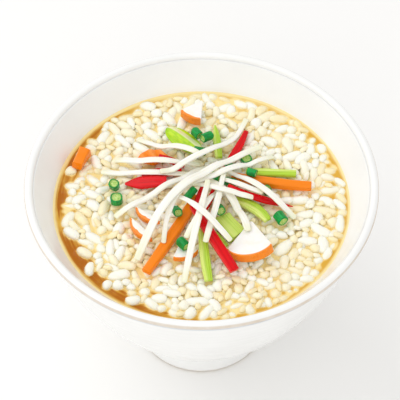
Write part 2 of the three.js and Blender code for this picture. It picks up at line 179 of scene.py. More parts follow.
def turn_from(start, angle):
    """The turn from one bearing to another, between half a turn back and half a turn on."""
    return np.angle(np.exp(1j * (angle - start)))


def polar(radius, angle):
    """x and y of places at a radius and bearing."""
    return radius * np.cos(angle), radius * np.sin(angle)


def round_turn(count):
    """Angles evenly spaced round a full turn, as a row."""
    return np.linspace(0, 2 * math.pi, count, endpoint=False)[None]


def superellipse(angle, square):
    """A point of a rounded section: sine and cosine raised to a power, which squares the circle as it falls."""
    across, over = np.cos(angle), np.sin(angle)
    return np.sign(across) * np.abs(across) ** square, np.sign(over) * np.abs(over) ** square


# ---- Skins ----


def skin(rings, first, last):
    """Points and faces of a closed skin: rings (rows, columns, 3), each closed on itself, and a pole at each end."""
    rows, columns = rings.shape[:2]
    points = np.concatenate([rings.reshape(-1, 3), [first], [last]])
    row, column = np.meshgrid(np.arange(rows - 1), np.arange(columns), indexing="ij")
    here, beside = row * columns + column, row * columns + (column + 1) % columns
    quads = np.stack([here, beside, beside + columns, here + columns], -1).reshape(-1, 4)
    column = np.arange(columns)
    beside = (column + 1) % columns
    base = (rows - 1) * columns
    start = np.stack([np.full(columns, rows * columns), beside, column], -1)
    end = np.stack([np.full(columns, rows * columns + 1), base + column, base + beside], -1)
    return outward(points, quads, np.concatenate([start, end]))


def outward(points, quads, triangles):
    """Turns every face over if the closed skin holds a negative volume."""
    corners = np.concatenate([triangles, quads[:, :3], quads[:, [0, 2, 3]]])
    a, b, c = (points[corners[:, k]] - points.mean(0) for k in range(3))
    if np.einsum("ij,ij->", a, np.cross(b, c)) < 0:
        quads, triangles = quads[:, ::-1], triangles[:, ::-1]
    return points, quads, triangles


def to_mesh(name, points, quads, triangles, marks):
    """A smooth-shaded object of the points and faces. marks gives each attribute's number or vector at a point."""
    mesh = bpy.data.meshes.new(name)
    mesh.vertices.add(len(points))
    mesh.vertices.foreach_set("co", points.astype(np.float32).ravel())
    corners = np.concatenate([quads.ravel(), triangles.ravel()]).astype(np.int32)
    counts = np.concatenate([np.full(len(quads), 4), np.full(len(triangles), 3)])
    mesh.loops.add(len(corners))
    mesh.loops.foreach_set("vertex_index", corners)
    mesh.polygons.add(len(counts))
    mesh.polygons.foreach_set("loop_start", (np.cumsum(counts) - counts).astype(np.int32))
    mesh.polygons.foreach_set("use_smooth", np.ones(len(counts), bool))
    for mark, values in marks.items():
        wide = values.ndim == 2
        attribute = mesh.attributes.new(mark, "FLOAT_VECTOR" if wide else "FLOAT", "POINT")
        attribute.data.foreach_set("vector" if wide else "value", values.astype(np.float32).ravel())
    mesh.update()
    mesh.validate()
    piece = bpy.data.objects.new(name, mesh)
    bpy.context.scene.collection.objects.link(piece)
    return piece


def with_poles(values, first=None, last=None):
    """Flattens a mark given a ring point at a time and adds the two poles, which take the end rings' mean."""
    flat = values.reshape(-1, *values.shape[2:])
    first = values[0].mean(0) if first is None else first
    last = values[-1].mean(0) if last is None else last
    return np.concatenate([flat, [first], [last]])


def finish_piece(piece, material, slot, *replaced):
    """Gives a piece its finish and body, and hides the CAD pieces that it stands for. slot is not used."""
    piece.data.materials.append(material)
    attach(piece, "root")
    if replaced:
        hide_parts(*replaced)


def stand_in(node, parts, marks, material, slot):
    """Makes the fine piece that stands for one topping."""
    finish_piece(to_mesh(node + "_fine", *parts, marks), material, slot, node)


# ---- Reading the CAD pieces ----


def cad_points(node):
    """The corners of every triangle of a CAD piece."""
    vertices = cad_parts[node].data.vertices
    co = np.zeros(len(vertices) * 3, np.float32)
    vertices.foreach_get("co", co)
    return co.reshape(-1, 3).astype(float)


def corners_of(node):
    """The distinct corners of a CAD piece."""
    return np.unique(np.round(cad_points(node), 6), axis=0)


def axes_along(middles):
    """At each point of a middle line: the way on, the level way across it, and the way up from both."""
    heading = unit(np.gradient(middles, axis=0))
    side = unit(np.cross(heading, UP))
    return heading, side, np.cross(side, heading)


def spine(node, sides, rows):
    """The middle line of a bar: its corners, sorted along its longest axis, fall into rings, whose middles, half
    widths and half thicknesses are carried by a smooth curve. The end rings hold one corner more, their pole."""
    points = corners_of(node)
    axis = np.linalg.svd(points - points.mean(0))[2][0]
    if axis @ ONWARD < 0:
        axis = -axis
    ordered = points[np.argsort(points @ axis)]
    inner = np.split(ordered[sides + 1 : -sides - 1], (len(points) - 2) // sides - 2)
    rings = [ordered[: sides + 1], *inner, ordered[-sides - 1 :]]
    middles = np.array([ring.mean(0) for ring in rings])
    _, side, over = axes_along(middles)
    half_wide, half_thick = (
        [np.abs((ring - m) @ way).max() for ring, m, way in zip(rings, middles, ways)] for ways in (side, over)
    )
    line = flow(np.column_stack([middles, half_wide, half_thick]), rows)
    return line[:, :3], line[:, 3], line[:, 4]


def seat(node, template):
    """How a CAD piece lies: the turn and shift that bring points made lying flat to where it is. Its principal axes
    are tried in every order and sense, and the one that sets the template's points nearest to the piece's is kept."""
    points = corners_of(node)
    axes = np.linalg.svd(points - points.mean(0))[2]
    best = (np.inf, None, None)
    for order in itertools.permutations(range(3)):
        for signs in itertools.product((1, -1), repeat=3):
            turn = axes[list(order)] * np.array(signs)[:, None]
            if np.linalg.det(turn) < 0:
                continue
            local = points @ turn.T
            shift = (local.max(0) + local.min(0) - template.max(0) - template.min(0)) / 2
            gaps = np.linalg.norm((local - shift)[:, None] - template[None], axis=2).min(1)
            miss = gaps.mean() + (0.05 * MM if turn[2, 2] < 0 else 0)
            if miss < best[0]:
                best = (miss, turn, shift)
    return best[1], best[2]


def seated(points, place):
    """Points made lying flat, brought to where a CAD piece lies by the turn and shift of seat."""
    turn, shift = place
    return ((points.reshape(-1, 3) + shift) @ turn).reshape(points.shape)


# ---- Finishes ----


class Reading:
    """A shader socket that is reckoned with like a number: each operator adds its Math node."""

    def __init__(self, finish, socket):
        self.finish, self.socket = finish, socket

    def _math(self, operation, *terms):
        return self.finish.node("ShaderNodeMath", {"operation": operation}, dict(enumerate(terms)))

    def __add__(self, other):
        return self._math("ADD", self, other)

    def __sub__(self, other):
        return self._math("SUBTRACT", self, other)

    def __rsub__(self, other):
        return self._math("SUBTRACT", other, self)

    def __mul__(self, other):
        return self._math("MULTIPLY", self, other)

    __radd__, __rmul__ = __add__, __mul__

    def wave(self):
        return self._math("SINE", self)

    def within(self, start, end):
        """0 at start, 1 at end and a smooth S between."""
        inputs = {"Value": self, "From Min": start, "From Max": end}
        return self.finish.node("ShaderNodeMapRange", {"interpolation_type": "SMOOTHSTEP"}, inputs)


class Finish:
    """A material made of nodes, ending in one Principled shader."""

    def __init__(self, name):
        self.material = bpy.data.materials.new(name)
        self.material.use_nodes = True
        self.nodes = self.material.node_tree.nodes
        self.links = self.material.node_tree.links
        self.nodes.clear()

    def node(self, kind, setting=None, inputs=None, output=0):
        """Adds a node: its settings are set first, then its inputs are set or linked. Gives one output, if any."""
        made = self.nodes.new(kind)
        for key, value in (setting or {}).items():
            setattr(made, key, value)
        for key, value in (inputs or {}).items():
            if isinstance(value, Reading):
                self.links.new(value.socket, made.inputs[key])
            else:
                made.inputs[key].default_value = value
        return None if output is None else Reading(self, made.outputs[output])

    def mark(self, name):
        """One of the piece's own marks, a number at each point."""
        return self.node("ShaderNodeAttribute", {"attribute_name": name}, output="Fac")

    def times(self, vector, factors):
        return self.node("ShaderNodeVectorMath", {"operation": "MULTIPLY"}, {0: vector, 1: factors})

    def straight(self, *stretch):
        """A piece's own straightened millimetres (across, along, over), each multiplied by its stretch."""
        return self.times(self.node("ShaderNodeAttribute", {"attribute_name": "straight"}, output="Vector"), stretch)

    def place(self):
        """Object coordinates, in millimetres."""
        return self.times(self.node("ShaderNodeTexCoord", output="Object"), (1 / MM,) * 3)

    def length(self, vector):
        """How far a place is from the Z axis."""
        flat = self.times(vector, (1, 1, 0))
        return self.node("ShaderNodeVectorMath", {"operation": "LENGTH"}, {0: flat}, "Value")

    def axis(self, vector, name):
        return self.node("ShaderNodeSeparateXYZ", inputs={0: vector}, output=name)

    def noise(self, vector, scale, detail=2.0):
        """Noise about 1 / scale millimetres across, between about 0.25 and 0.75."""
        return self.node("ShaderNodeTexNoise", inputs={"Vector": vector, "Scale": scale, "Detail": detail})

    def streaks(self, across, along, over, detail):
        """Noise in a piece's straightened places, drawn out along it where along is small."""
        return self.noise(self.straight(across, along, over), 1.0, detail)

    def cells(self, vector, scale):
        """How far a place is from the nearest of some scattered points."""
        return self.node("ShaderNodeTexVoronoi", {"feature": "F1"}, {"Vector": vector, "Scale": scale})

    def mix(self, share, first, second):
        """The first colour where share is 0 and the second where it is 1."""
        first, second = (c if isinstance(c, Reading) else (*c[:3], 1.0) for c in (first, second))
        return self.node("ShaderNodeMix", {"data_type": "RGBA"}, {0: share, 6: first, 7: second}, 2)

    def surface(self, base, rough, relief=None, height=0.1, **constants):
        """Joins the Principled shader. relief is a height in shares of height, which is in millimetres."""
        inputs = {key.replace("_", " "): value for key, value in constants.items()}
        inputs |= {"Base Color": base, "Roughness": rough}
        if relief is not None:
            lift = {"Strength": 1.0, "Distance": height * MM, "Height": relief}
            inputs["Normal"] = self.node("ShaderNodeBump", inputs=lift)
        shader = self.node("ShaderNodeBsdfPrincipled", inputs=inputs)
        self.node("ShaderNodeOutputMaterial", inputs={"Surface": shader}, output=None)
        return self.material


# How light spreads inside rice, shoots and paste: a millimetre or so, a little further in red.
GLOW = {"Subsurface_Weight": 0.2, "Subsurface_Scale": 1.2 * MM, "Subsurface_Radius": (1.0, 0.85, 0.6)}


def shade_of(tint, factor):
    """A colour made darker or lighter by a factor."""
    return tuple(min(1.0, value * factor) for value in tint)


def porcelain_finish(colours):
    """White glaze: faint throwing rings, a slow mottle, a cool grey-blue painted shade under the lip and where the
    foot meets the body, a warm line where the glaze thins on the lip, a bare foot."""
    f = Finish("white_glaze")
    where = f.place()
    height, from_axis = f.axis(where, "Z"), f.length(where)
    rim, radius = RIM_HEIGHT / MM, RIM_RADIUS / MM
    mottle = f.noise(where, 0.05, 3)
    glaze = f.mix(mottle.within(0.3, 0.75), colours.porcelain, shade_of(colours.porcelain, 0.965))
    outside = from_axis.within(radius - 3.6, radius - 2.6)
    # Painted shade: a cool grey-blue band on the outside under the lip's bead, and a weaker one where the foot meets
    # the body.
    lip_painted_shade = outside * (height.within(rim - 7, rim - 5) - height.within(rim - 3.6, rim - 2.4))
    foot_painted_shade = height.within(13.8, 14.6) - height.within(15.2, 16.4)
    glaze = f.mix((lip_painted_shade + 0.5 * foot_painted_shade) * (0.35 + 0.6 * f.noise(where, 0.15)), glaze, colour(190, 197, 208))
    edge = from_axis.within(radius - 0.45, radius - 0.15)
    glaze = f.mix(edge * (0.3 + 0.45 * f.noise(where, 0.2)), glaze, colour(206, 182, 150))
    bare = 1 - height.within(0.3, 1.4)
    glaze = f.mix(bare, glaze, colour(214, 200, 180))
    rings = (height * 1.6 + 3 * f.noise(where, 0.035)).wave() * 0.5 + f.noise(where, 0.12, 2)
    rough = 0.16 + 0.1 * f.noise(where, 0.4) + 0.5 * bare
    return f.surface(glaze, rough, rings, 0.01, Specular_IOR_Level=0.18, IOR=1.5)


def broth_finish(colours):
    """Thick gold broth: light over what lies just below, amber where it is deep, with a starchy cloud in it and
    streaks drawn out along the wall."""
    f = Finish("thick_broth")
    where = f.place()
    deep, amber = f.mark("deep"), f.mark("amber")
    cloud = f.noise(where, 0.16, 4)
    inputs = {0: f.length(where) * 0.9, 1: f.axis(where, "X") * 0.05, 2: f.axis(where, "Y") * 0.05}
    streaks = f.noise(f.node("ShaderNodeCombineXYZ", inputs=inputs), 1.0, 3)
    gold = (deep + 0.35 * cloud + 0.5 * streaks - 0.42).within(0.0, 0.75)
    dark = (1.4 * amber + 0.5 * cloud + 1.8 * streaks - 1.55).within(0.05, 0.95)
    tone = f.mix(dark, f.mix(gold, colours.broth_shallow, colours.broth_gold), colours.broth_amber)
    ripple = f.noise(where, 0.22, 3)
    return f.surface(tone, 0.05 + 0.05 * cloud, ripple, 0.35, IOR=1.36, Specular_IOR_Level=0.4)


def rice_finish(colours):
    """Cooked grain: white with a cream side to some, a chalky heart and a wet skin."""
    f = Finish("cooked_rice")
    chalk = f.noise(f.place(), 0.5, 3)
    grain = f.mix(f.mark("tone").within(0.4, 1.1), colours.rice, colour(253, 236, 190))
    grain = f.mix(f.mark("sunk") * 0.55, grain, colour(248, 222, 162))
    grain = f.mix(chalk.within(0.5, 0.75) * 0.25, grain, colour(255, 254, 244))
    return f.surface(grain, 0.22 + 0.22 * chalk, chalk, 0.12, Coat_Weight=0.25, Coat_Roughness=0.12, **GLOW)


def rice_core_finish():
    """The soft mass between the loose grains: broken grains bound in thickened broth."""
    f = Finish("rice_mass")
    where = f.place()
    grains = f.cells(where, 0.42)
    soft = f.noise(where, 0.3, 3)
    tone = f.mix(grains.within(0.2, 0.9), colour(251, 238, 200), colour(238, 204, 132))
    tone = f.mix(soft.within(0.35, 0.8) * 0.35, tone, colour(226, 180, 92))
    return f.surface(tone, 0.25 + 0.2 * soft, 1 - grains, 0.5, Coat_Weight=0.3, Coat_Roughness=0.08)


def shoot_finish(colours):
    """Bean shoot: white and crisp, with fine veins along it, glassier and greener towards its ends."""
    f = Finish("bean_shoot")
    veins, patches = f.streaks(2.2, 0.09, 2.2, 3), f.streaks(0.25, 0.12, 0.25, 2)
    flesh = f.mix(veins.within(0.35, 0.7) * 0.5, colours.shoot, colour(236, 232, 206))
    flesh = f.mix(f.mark("tip") * 0.6, flesh, colour(236, 236, 196))
    return f.surface(flesh, 0.2 + 0.2 * patches, veins, 0.09, Coat_Weight=0.3, Coat_Roughness=0.1, **GLOW)


def pepper_finish(colours):
    """Red pepper: glossy skin with darker and lighter streaks along it, and a pale band along the edge that faces the
    lamps, partly the paler flesh of a cut edge and partly a painted highlight.
    """
    f = Finish("red_pepper")
    streaks, dimples = f.streaks(0.9, 0.05, 0.9, 2), f.streaks(0.8, 0.4, 0.8, 2)
    tone = f.mix(streaks.within(0.35, 0.75), colours.pepper, shade_of(colours.pepper, 0.74))
    # The cut mark: paler flesh of a cut edge together with a painted highlight, on the edge that faces the lamps.
    tone = f.mix(f.mark("cut") * (0.45 + 0.5 * streaks), tone, colour(236, 84, 78))
    gloss = {"Coat_Weight": 0.12, "Coat_Roughness": 0.08, "Specular_IOR_Level": 0.2}
    return f.surface(tone, 0.12 + 0.14 * dimples, dimples, 0.16, **gloss)


def carrot_finish(colours):
    """Carrot: orange with fibres along the cut, a painted highlight as a lighter band along the edge that faces the
    lamps and over the ridges of the creased chunk, and darker pores across it.
    """
    f = Finish("carrot_flesh")
    fibres, pores = f.streaks(1.6, 0.07, 1.6, 3), f.streaks(0.7, 1.3, 0.7, 2)
    flesh = f.mix(fibres.within(0.3, 0.75), colours.carrot, shade_of(colours.carrot, 0.9))
    # Painted highlight: the cut mark lightens the edge that faces the lamps and the chunk's ridge tops.
    flesh = f.mix(f.mark("cut") * 0.75, flesh, colour(255, 160, 72))
    flesh = f.mix(pores.within(0.62, 0.8) * 0.35, flesh, colour(240, 104, 4))
    relief = 0.7 * fibres + 0.3 * pores
    return f.surface(flesh, 0.24 + 0.2 * fibres, relief, 0.14, Coat_Weight=0.1, Specular_IOR_Level=0.25)


def celery_finish(colours):
    """Celery: strings along the stalk, pale flesh on one side and bright green on the other."""
    f = Finish("celery_stalk")
    strings = f.streaks(2.4, 0.06, 2.4, 3)
    green = f.mix(strings.within(0.3, 0.7), colours.celery, shade_of(colours.celery, 0.72))
    flesh = f.mix(strings.within(0.4, 0.7), colour(230, 242, 140), colour(202, 230, 84))
    stalk = f.mix(f.mark("cut"), green, flesh)
    return f.surface(stalk, 0.2 + 0.2 * strings, strings, 0.16, Coat_Weight=0.15, Specular_IOR_Level=0.3)


def cucumber_finish(colours):
    """Green wedge: mottled lime skin, darker towards its tips, and a creamy flesh along the upper ridge."""
    f = Finish("green_wedge")
    mottle = f.streaks(0.3, 0.9, 0.9, 3)
    tone = f.mix(mottle.within(0.35, 0.7), colours.cucumber, colour(196, 230, 30))
    tone = f.mix(f.mark("tip"), tone, colour(98, 154, 16))
    tone = f.mix(f.mark("cut"), tone, colour(236, 240, 182))
    return f.surface(tone, 0.14 + 0.14 * mottle, mottle, 0.14, Coat_Weight=0.2, Specular_IOR_Level=0.3)


def scallion_finish(colours):
    """Scallion: deep green leaf with fine veins, and a pale wet core in its cut ends."""
    f = Finish("scallion_leaf")
    veins = f.streaks(1.6, 0.3, 1.6, 3)
    leaf = f.mix(veins.within(0.35, 0.7), colours.scallion, shade_of(colours.scallion, 1.9))
    core = f.mix(veins.within(0.4, 0.65), colour(206, 226, 140), colour(150, 198, 84))
    both = f.mix(f.mark("cut"), leaf, core)
    return f.surface(both, 0.14 + 0.14 * veins, veins, 0.14, Coat_Weight=0.15, Specular_IOR_Level=0.25)


def cake_finish(colours):
    """Fish cake: close white paste with tiny pores, and an orange rind that is lighter where it meets the paste."""
    f = Finish("fish_cake")
    where = f.straight(1, 1, 1)
    pores, slow = f.noise(where, 1.3, 3), f.noise(where, 0.22, 2)
    paste = f.mix(slow.within(0.35, 0.75) * 0.6, colours.cake, colour(246, 238, 222))
    skin_tone = f.mix(f.noise(where, 0.5, 3).within(0.35, 0.7), colours.rind, shade_of(colours.rind, 0.9))
    rind = f.mark("rind")
    edge = f.mix(rind.within(0.05, 0.45), paste, colour(252, 190, 116))
    both = f.mix(rind.within(0.4, 0.7), edge, skin_tone)
    rough = 0.32 + 0.2 * pores - 0.12 * rind
    return f.surface(both, rough, pores, 0.12, Coat_Weight=0.2, Coat_Roughness=0.15, **GLOW)


def floor_finish(colours):
    """A plain matt floor with the faintest unevenness."""
    f = Finish("plain_floor")
    soft = f.noise(f.place(), 0.01, 2)
    tone = f.mix(soft, colours.ground, shade_of(colours.ground, 0.985))
    return f.surface(tone, 0.75 + 0.1 * soft)


# ---- The bowl ----

# (radius, height below the rim) up the outside from above the foot, and down the inside from below the lip, and
# (radius, height above the table) under the foot and up its outside, all in millimetres.
OUTSIDE = ((26.4, 80.5), (39.5, 70.6), (49, 58.6), (56.6, 45.6), (62.7, 33.3), (67.6, 21.1), (71.6, 10), (73.2, 5))
INSIDE = ((71.2, 1.4), (66.5, 8.5), (62.7, 14.5), (58.4, 25), (53.2, 37), (46.2, 50.4), (36.5, 63), (22, 72), (0, 75))
FOOT = ((0, 11), (12, 11), (20.6, 11), (21.5, 10.8), (22.1, 8), (22.5, 0.6), (22.9, 0.15), (23.6, 0), (26.4, 0))
FOOT_OUTSIDE = ((26.9, 0.5), (27.25, 1.2), (27.1, 5), (26.7, 10), (26.4, 14.4))
TURNS = 480
# Points along the foot's inside and outside, the outer wall, the bead and the inner wall.
FOOT_POINTS, SIDE_POINTS, OUTER_POINTS, BEAD_POINTS, INNER_POINTS = 32, 12, 64, 18, 74


def below_rim(points, count):
    """A smooth line through (radius, height below the rim) points, as (radius, height) in metres."""
    return np.array([0, RIM_HEIGHT]) + flow(points, count) * (MM, -MM)


WALL_RADII, WALL_HEIGHTS = below_rim(INSIDE, 200)[::-1].T


def wall_radius(height):
    """The inner wall's radius at a height."""
    return np.interp(height, WALL_HEIGHTS, WALL_RADII)


def wall_height(radius):
    """The inner wall's height at a radius."""
    return np.interp(radius, WALL_RADII, WALL_HEIGHTS)


def bowl_profile(sizes):
    """The wall's outline: under the foot, up its outside, up the wall, round the lip on a circle, down the inside."""
    lip = sizes.lip_radius
    centre = np.array([RIM_RADIUS - lip, RIM_HEIGHT - lip])
    bead = centre + np.column_stack(polar(lip, np.radians(np.linspace(-50, 170, BEAD_POINTS))))
    foot, side = flow(FOOT, FOOT_POINTS) * MM, flow(FOOT_OUTSIDE, SIDE_POINTS) * MM
    outer, inner = below_rim(OUTSIDE, OUTER_POINTS), below_rim(INSIDE, INNER_POINTS)
    return np.maximum(np.vstack([foot[1:], side, outer, bead, inner[:-1]]), 0)


def bowl_skin(sizes):
    """The outline turned about Z. The radius shrinks by up to ring_depth, in waves along the height, as throwing
    leaves it."""
    radius, height = bowl_profile(sizes).T
    walls = ease(radius, 0.3 * RIM_RADIUS, 0.5 * RIM_RADIUS)
    walls = walls * (1 - ease(height, RIM_HEIGHT - 8 * MM, RIM_HEIGHT - 4 * MM))
    waves = np.sin(height / (1.4 * MM)) * np.sin(height / (5.3 * MM) + 1)
    radius = (radius - sizes.ring_depth * (1 + waves) * walls * 0.5)[:, None]
    x, y = polar(radius, round_turn(TURNS))
    rings = np.stack([x, y, np.broadcast_to(height[:, None], x.shape)], -1)
    return skin(rings, (0, 0, FOOT[0][1] * MM), (0, 0, RIM_HEIGHT - INSIDE[-1][1] * MM))


# ---- Rice and broth ----

# The heap: its radius, how high its middle stands over the broth and how deep its underside lies. Bearings of the
# open broth's middle and of the spit of grains in it. The terrain: a cell's side, half the width, the cells a side.
RICE_RADIUS = 60.6 * MM
RICE_CROWN = 1.6 * MM
RICE_SUNK = 12 * MM
OPEN_SIDE, SPIT, SPIT_WIDTH = 3.35, 3.28, 0.14
CELL = 0.4 * MM
HALF_SPAN = 66 * MM
CELLS = int(2 * HALF_SPAN / CELL) + 1
# The mass under the grains: how far it lies below the heap's top, and the size and height of its domes. How far below
# the broth grains may lie, and how clear they stay of the toppings and of the wall. Columns of the mass and the broth.
CORE_DROP, DOME_SIZE, DOME_HEIGHT = 3.4 * MM, 3.4 * MM, 0.9 * MM
DEEPEST = 2.6 * MM
TOPPING_GAP, WALL_GAP = 0.15 * MM, 0.5 * MM
CORE_COLUMNS, BROTH_COLUMNS = 480, 600


def rice_edge(angle):
    """The heap's edge wanders in and out, and is drawn in where the broth lies open on the eater's left."""
    opened = np.maximum(0, np.cos(angle + 2.55)) ** 4
    return 1 + 0.012 * np.sin(3 * angle + 0.6) + 0.009 * np.sin(8 * angle + 2) - 0.035 * opened


def open_water(angle):
    """How open the broth lies along the wall: 1 on the eater's left, but for a spit of grains, and 0 opposite."""
    spit = bell(turn_from(SPIT, angle), SPIT_WIDTH)
    return np.maximum(0, np.cos(angle - OPEN_SIDE)) ** 0.9 * (1 - 0.85 * spit)


def heap_top(x, y):
    """The heap's upper outline: a low crown over the broth, with slow bumps."""
    share = np.hypot(x, y) / (RICE_RADIUS * rice_edge(np.arctan2(y, x)))
    u, v = x / MM, y / MM
    bumps = 0.3 * np.sin(u / 3.7 + 1.3) * np.cos(v / 4.3) + 0.2 * np.sin(u / 7.9 - v / 6.1)
    return BROTH_LEVEL + 0.5 * MM + RICE_CROWN * (1 - np.minimum(share, 1.1) ** 4) + bumps * MM


def pebbles(x, y, size):
    """Domes on a jittered grid: 1 at the nearest centre and 0 from a grid step away."""
    column, row = np.floor(x / size), np.floor(y / size)
    nearest = np.full_like(x, 9.0)
    for dx, dy in itertools.product((-1, 0, 1), repeat=2):
        cx, cy = column + dx, row + dy
        jitter_x = np.modf(np.abs(np.sin(cx * 12.99 + cy * 78.23) * 4375.5))[0]
        jitter_y = np.modf(np.abs(np.sin(cx * 39.35 + cy * 11.14) * 9631.7))[0]
        across = np.hypot(x / size - cx - jitter_x, y / size - cy - jitter_y)
        nearest = np.minimum(nearest, across)
    return np.sqrt(np.maximum(0, 1 - np.minimum(nearest, 1) ** 2))


def core_top(x, y):
    """The mass under the loose grains: the heap's outline let down, with domes the size of broken grains."""
    return heap_top(x, y) - CORE_DROP + DOME_HEIGHT * pebbles(x, y, DOME_SIZE)


def disc(radii, top, bottom, turns):
    """A closed lens: polar grids of the upper and lower heights, joined at the outer ring. radii rises from near 0;
    both heights are functions of x and y. The underside takes only every sixth ring."""

    def grid(shares, height):
        x, y = polar(shares[:, None], round_turn(turns))
        return np.stack([x, y, height(x, y)], -1)

    return np.concatenate([grid(radii[:-1:6], bottom), grid(radii[::-1], top)])


def lens_skin(rings, marks):
    """The skin of a disc, with its poles at the mean heights of its inmost rings, and its marks."""
    low, high = (rings[end, :, 2].mean() for end in (0, -1))
    return (*skin(rings, (0, 0, low), (0, 0, high)), {name: with_poles(values) for name, values in marks.items()})


def ceiling():
    """For each cell of the terrain, how high the lowest topping's underside is; far above where there is none. Each
    triangle is read at the points of a lattice on it, and at a cell's width to every side of them."""
    lattice = np.array([(i / 12, j / 12) for i in range(13) for j in range(13 - i)])
    heights = np.full((CELLS, CELLS), 1.0)
    for node in itertools.chain.from_iterable(nodes_of(kind) for kind in TOPPING_KINDS):
        a, b, c = np.moveaxis(cad_points(node).reshape(-1, 3, 3), 1, 0)
        u, v = lattice[:, 0, None, None], lattice[:, 1, None, None]
        points = (a + u * (b - a) + v * (c - a)).reshape(-1, 3)
        for dx, dy in itertools.product((-CELL, 0, CELL), repeat=2):
            np.minimum.at(heights, (cell_of(points[:, 1] + dy), cell_of(points[:, 0] + dx)), points[:, 2])
    return heights


def cell_of(value):
    """The row or column of the terrain that a place on either axis falls in."""
    return np.clip(np.round((value + HALF_SPAN) / CELL).astype(int), 0, CELLS - 1)


def turned(along, aside, heading):
    """Places along and aside of a heading, as x and y."""
    return along * np.cos(heading) - aside * np.sin(heading), along * np.sin(heading) + aside * np.cos(heading)


# A loose grain's mesh, the share of grains that are broken, the steepest that one leans, how far one sinks into what
# is under it in shares of its thickness, and the share of its footprint that it clears before it sinks.
GRAIN_RINGS, GRAIN_SIDES = 6, 8
BROKEN = 0.24
STEEPEST = 0.32
SINKING = 0.12
CLEARED = 0.75
# Points of a grain's outline of radius 1, seen from above, and how high its upper half stands over each.
FOOTPRINT = np.array(list(itertools.product(np.linspace(-0.9, 0.9, 9), np.linspace(-0.8, 0.8, 5))))
FOOTPRINT = FOOTPRINT[(FOOTPRINT**2).sum(1) < 1]
BELLY = np.sqrt(1 - (FOOTPRINT**2).sum(1))
# How large the second half of the grains are beside the first, whose gaps they fill.
SMALL = 0.7
# How far the grains stand back from the wall where the broth lies fully open.
OPENING = 4.2 * MM
# Grains afloat in the open broth: x, y, length and width in millimetres, and heading in degrees.
STRAYS = (
    (-55.9, 18.3, 4.9, 4.3, 23),
    (-54.8, -15.6, 8.4, 4.9, -40),
    (-49.2, -26.0, 7.6, 4.6, -36),
    (-46.9, -34.6, 7.2, 4.1, 84),
    (-39.4, -43.2, 4.7, 4.1, 60),
    (-28.6, -51.2, 6.6, 4.7, 8),
    (-51.5, 27.5, 6.8, 3.9, 62),
)


def stray_grains():
    """The stray grains as rows of laid_grains, rather more than a third of each sunk in the broth."""
    x, y, long, wide, heading = np.array(STRAYS).T
    x, y, long, wide = x * MM, y * MM, long * MM, wide * MM
    return np.column_stack([x, y, BROTH_LEVEL + 0.1 * wide, np.radians(heading), 0 * x, long, wide, 0.8 * wide])


def drawn_grain(rng, grain_length, grain_width, share):
    """A grain that isn't laid yet: its distance and bearing from the middle, its heading, length, width and
    thickness. Grains are more swollen by the wall, where fewer lie on them."""
    radius = RICE_RADIUS * math.sqrt(rng.uniform())
    bearing = rng.uniform(0, 2 * math.pi)
    heading = rng.uniform(0, math.pi)
    swollen = (0.86 + 0.34 * rng.uniform() * (0.6 + 0.8 * radius / RICE_RADIUS)) * share
    shortest, longest = (0.5, 0.75) if rng.uniform() < BROKEN else (0.85, 1.3)
    long = grain_length * swollen * rng.uniform(shortest, longest)
    wide = grain_width * swollen * rng.uniform(0.8, 1.05)
    return radius, bearing, heading, long, wide, wide * rng.uniform(0.72, 0.9)


def settled(cx, cy, heading, long, wide, thick, terrain, limit, wall):
    """Lets a grain down on the terrain, leaning with it. Returns its row, or None if it reaches past the wall or its
    top stands above the limit."""
    along, aside = FOOTPRINT[:, 0] * long / 2, FOOTPRINT[:, 1] * wide / 2
    px, py = turned(along, aside, heading)
    if np.hypot(cx + px, cy + py).max() > wall:
        return None
    cells = cell_of(cy + py), cell_of(cx + px)
    ground = terrain[cells]
    pitch = np.clip((ground * along).sum() / (along * along).sum(), -STEEPEST, STEEPEST)
    bulge, slope = BELLY * thick / 2, pitch * along
    clear = np.sort(ground + bulge - slope)
    height = clear[int(CLEARED * len(clear))] - SINKING * thick
    if (height + slope + bulge > limit[cells]).any():
        return None
    return cx, cy, height, heading, pitch, long, wide, thick


@functools.lru_cache
def laid_grains(grain_length, grain_width, swell, tries, seed):
    """Drops grains one at a time. Each comes to rest on what is under it, leaning with it, sinks in a little as soft
    grains do, and is lifted off again if it stands above the heap or into a topping. Returns a row for each grain that
    stays (x, y, z, heading, pitch, length, width, thickness) and the terrain of their tops."""
    rng = np.random.default_rng(seed)
    axis = np.linspace(-HALF_SPAN, HALF_SPAN, CELLS)
    x, y = np.meshgrid(axis, axis)
    over, outline = ceiling(), heap_top(x, y)
    limit = np.where(over < 0.5, np.minimum(outline + 0.1 * MM, over - TOPPING_GAP), outline + swell)
    terrain = np.maximum(core_top(x, y), BROTH_LEVEL - DEEPEST)
    wall = float(wall_radius(BROTH_LEVEL)) - WALL_GAP
    kept = list(stray_grains())
    for grain in kept:
        spread(terrain, *grain)
    for turn in range(tries):
        share = SMALL if turn > tries / 2 else 1
        radius, bearing, *grain = drawn_grain(rng, grain_length, grain_width, share)
        if radius > RICE_RADIUS * rice_edge(bearing) - open_water(bearing) * OPENING:
            continue
        row = settled(*polar(radius, bearing), *grain, terrain, limit, wall)
        if row is not None:
            spread(terrain, *row)
            kept.append(row)
    return np.array(kept), terrain


def spread(terrain, cx, cy, height, heading, pitch, long, wide, thick):
    """Raises the terrain to a grain's upper half, an ellipsoid over the cells of its footprint."""
    reach = long / 2
    first_column, last_column = cell_of(np.array([cx - reach, cx + reach]))
    first_row, last_row = cell_of(np.array([cy - reach, cy + reach]))
    window = terrain[first_row : last_row + 1, first_column : last_column + 1]
    x = (np.arange(first_column, last_column + 1) * CELL - HALF_SPAN - cx)[None]
    y = (np.arange(first_row, last_row + 1) * CELL - HALF_SPAN - cy)[:, None]
    along, aside = turned(x, y, -heading)
    inside = 1 - (2 * along / long) ** 2 - (2 * aside / wide) ** 2
    tops = height + pitch * along + thick / 2 * np.sqrt(np.maximum(inside, 0))
    np.copyto(window, np.maximum(window, tops), where=inside > 0)


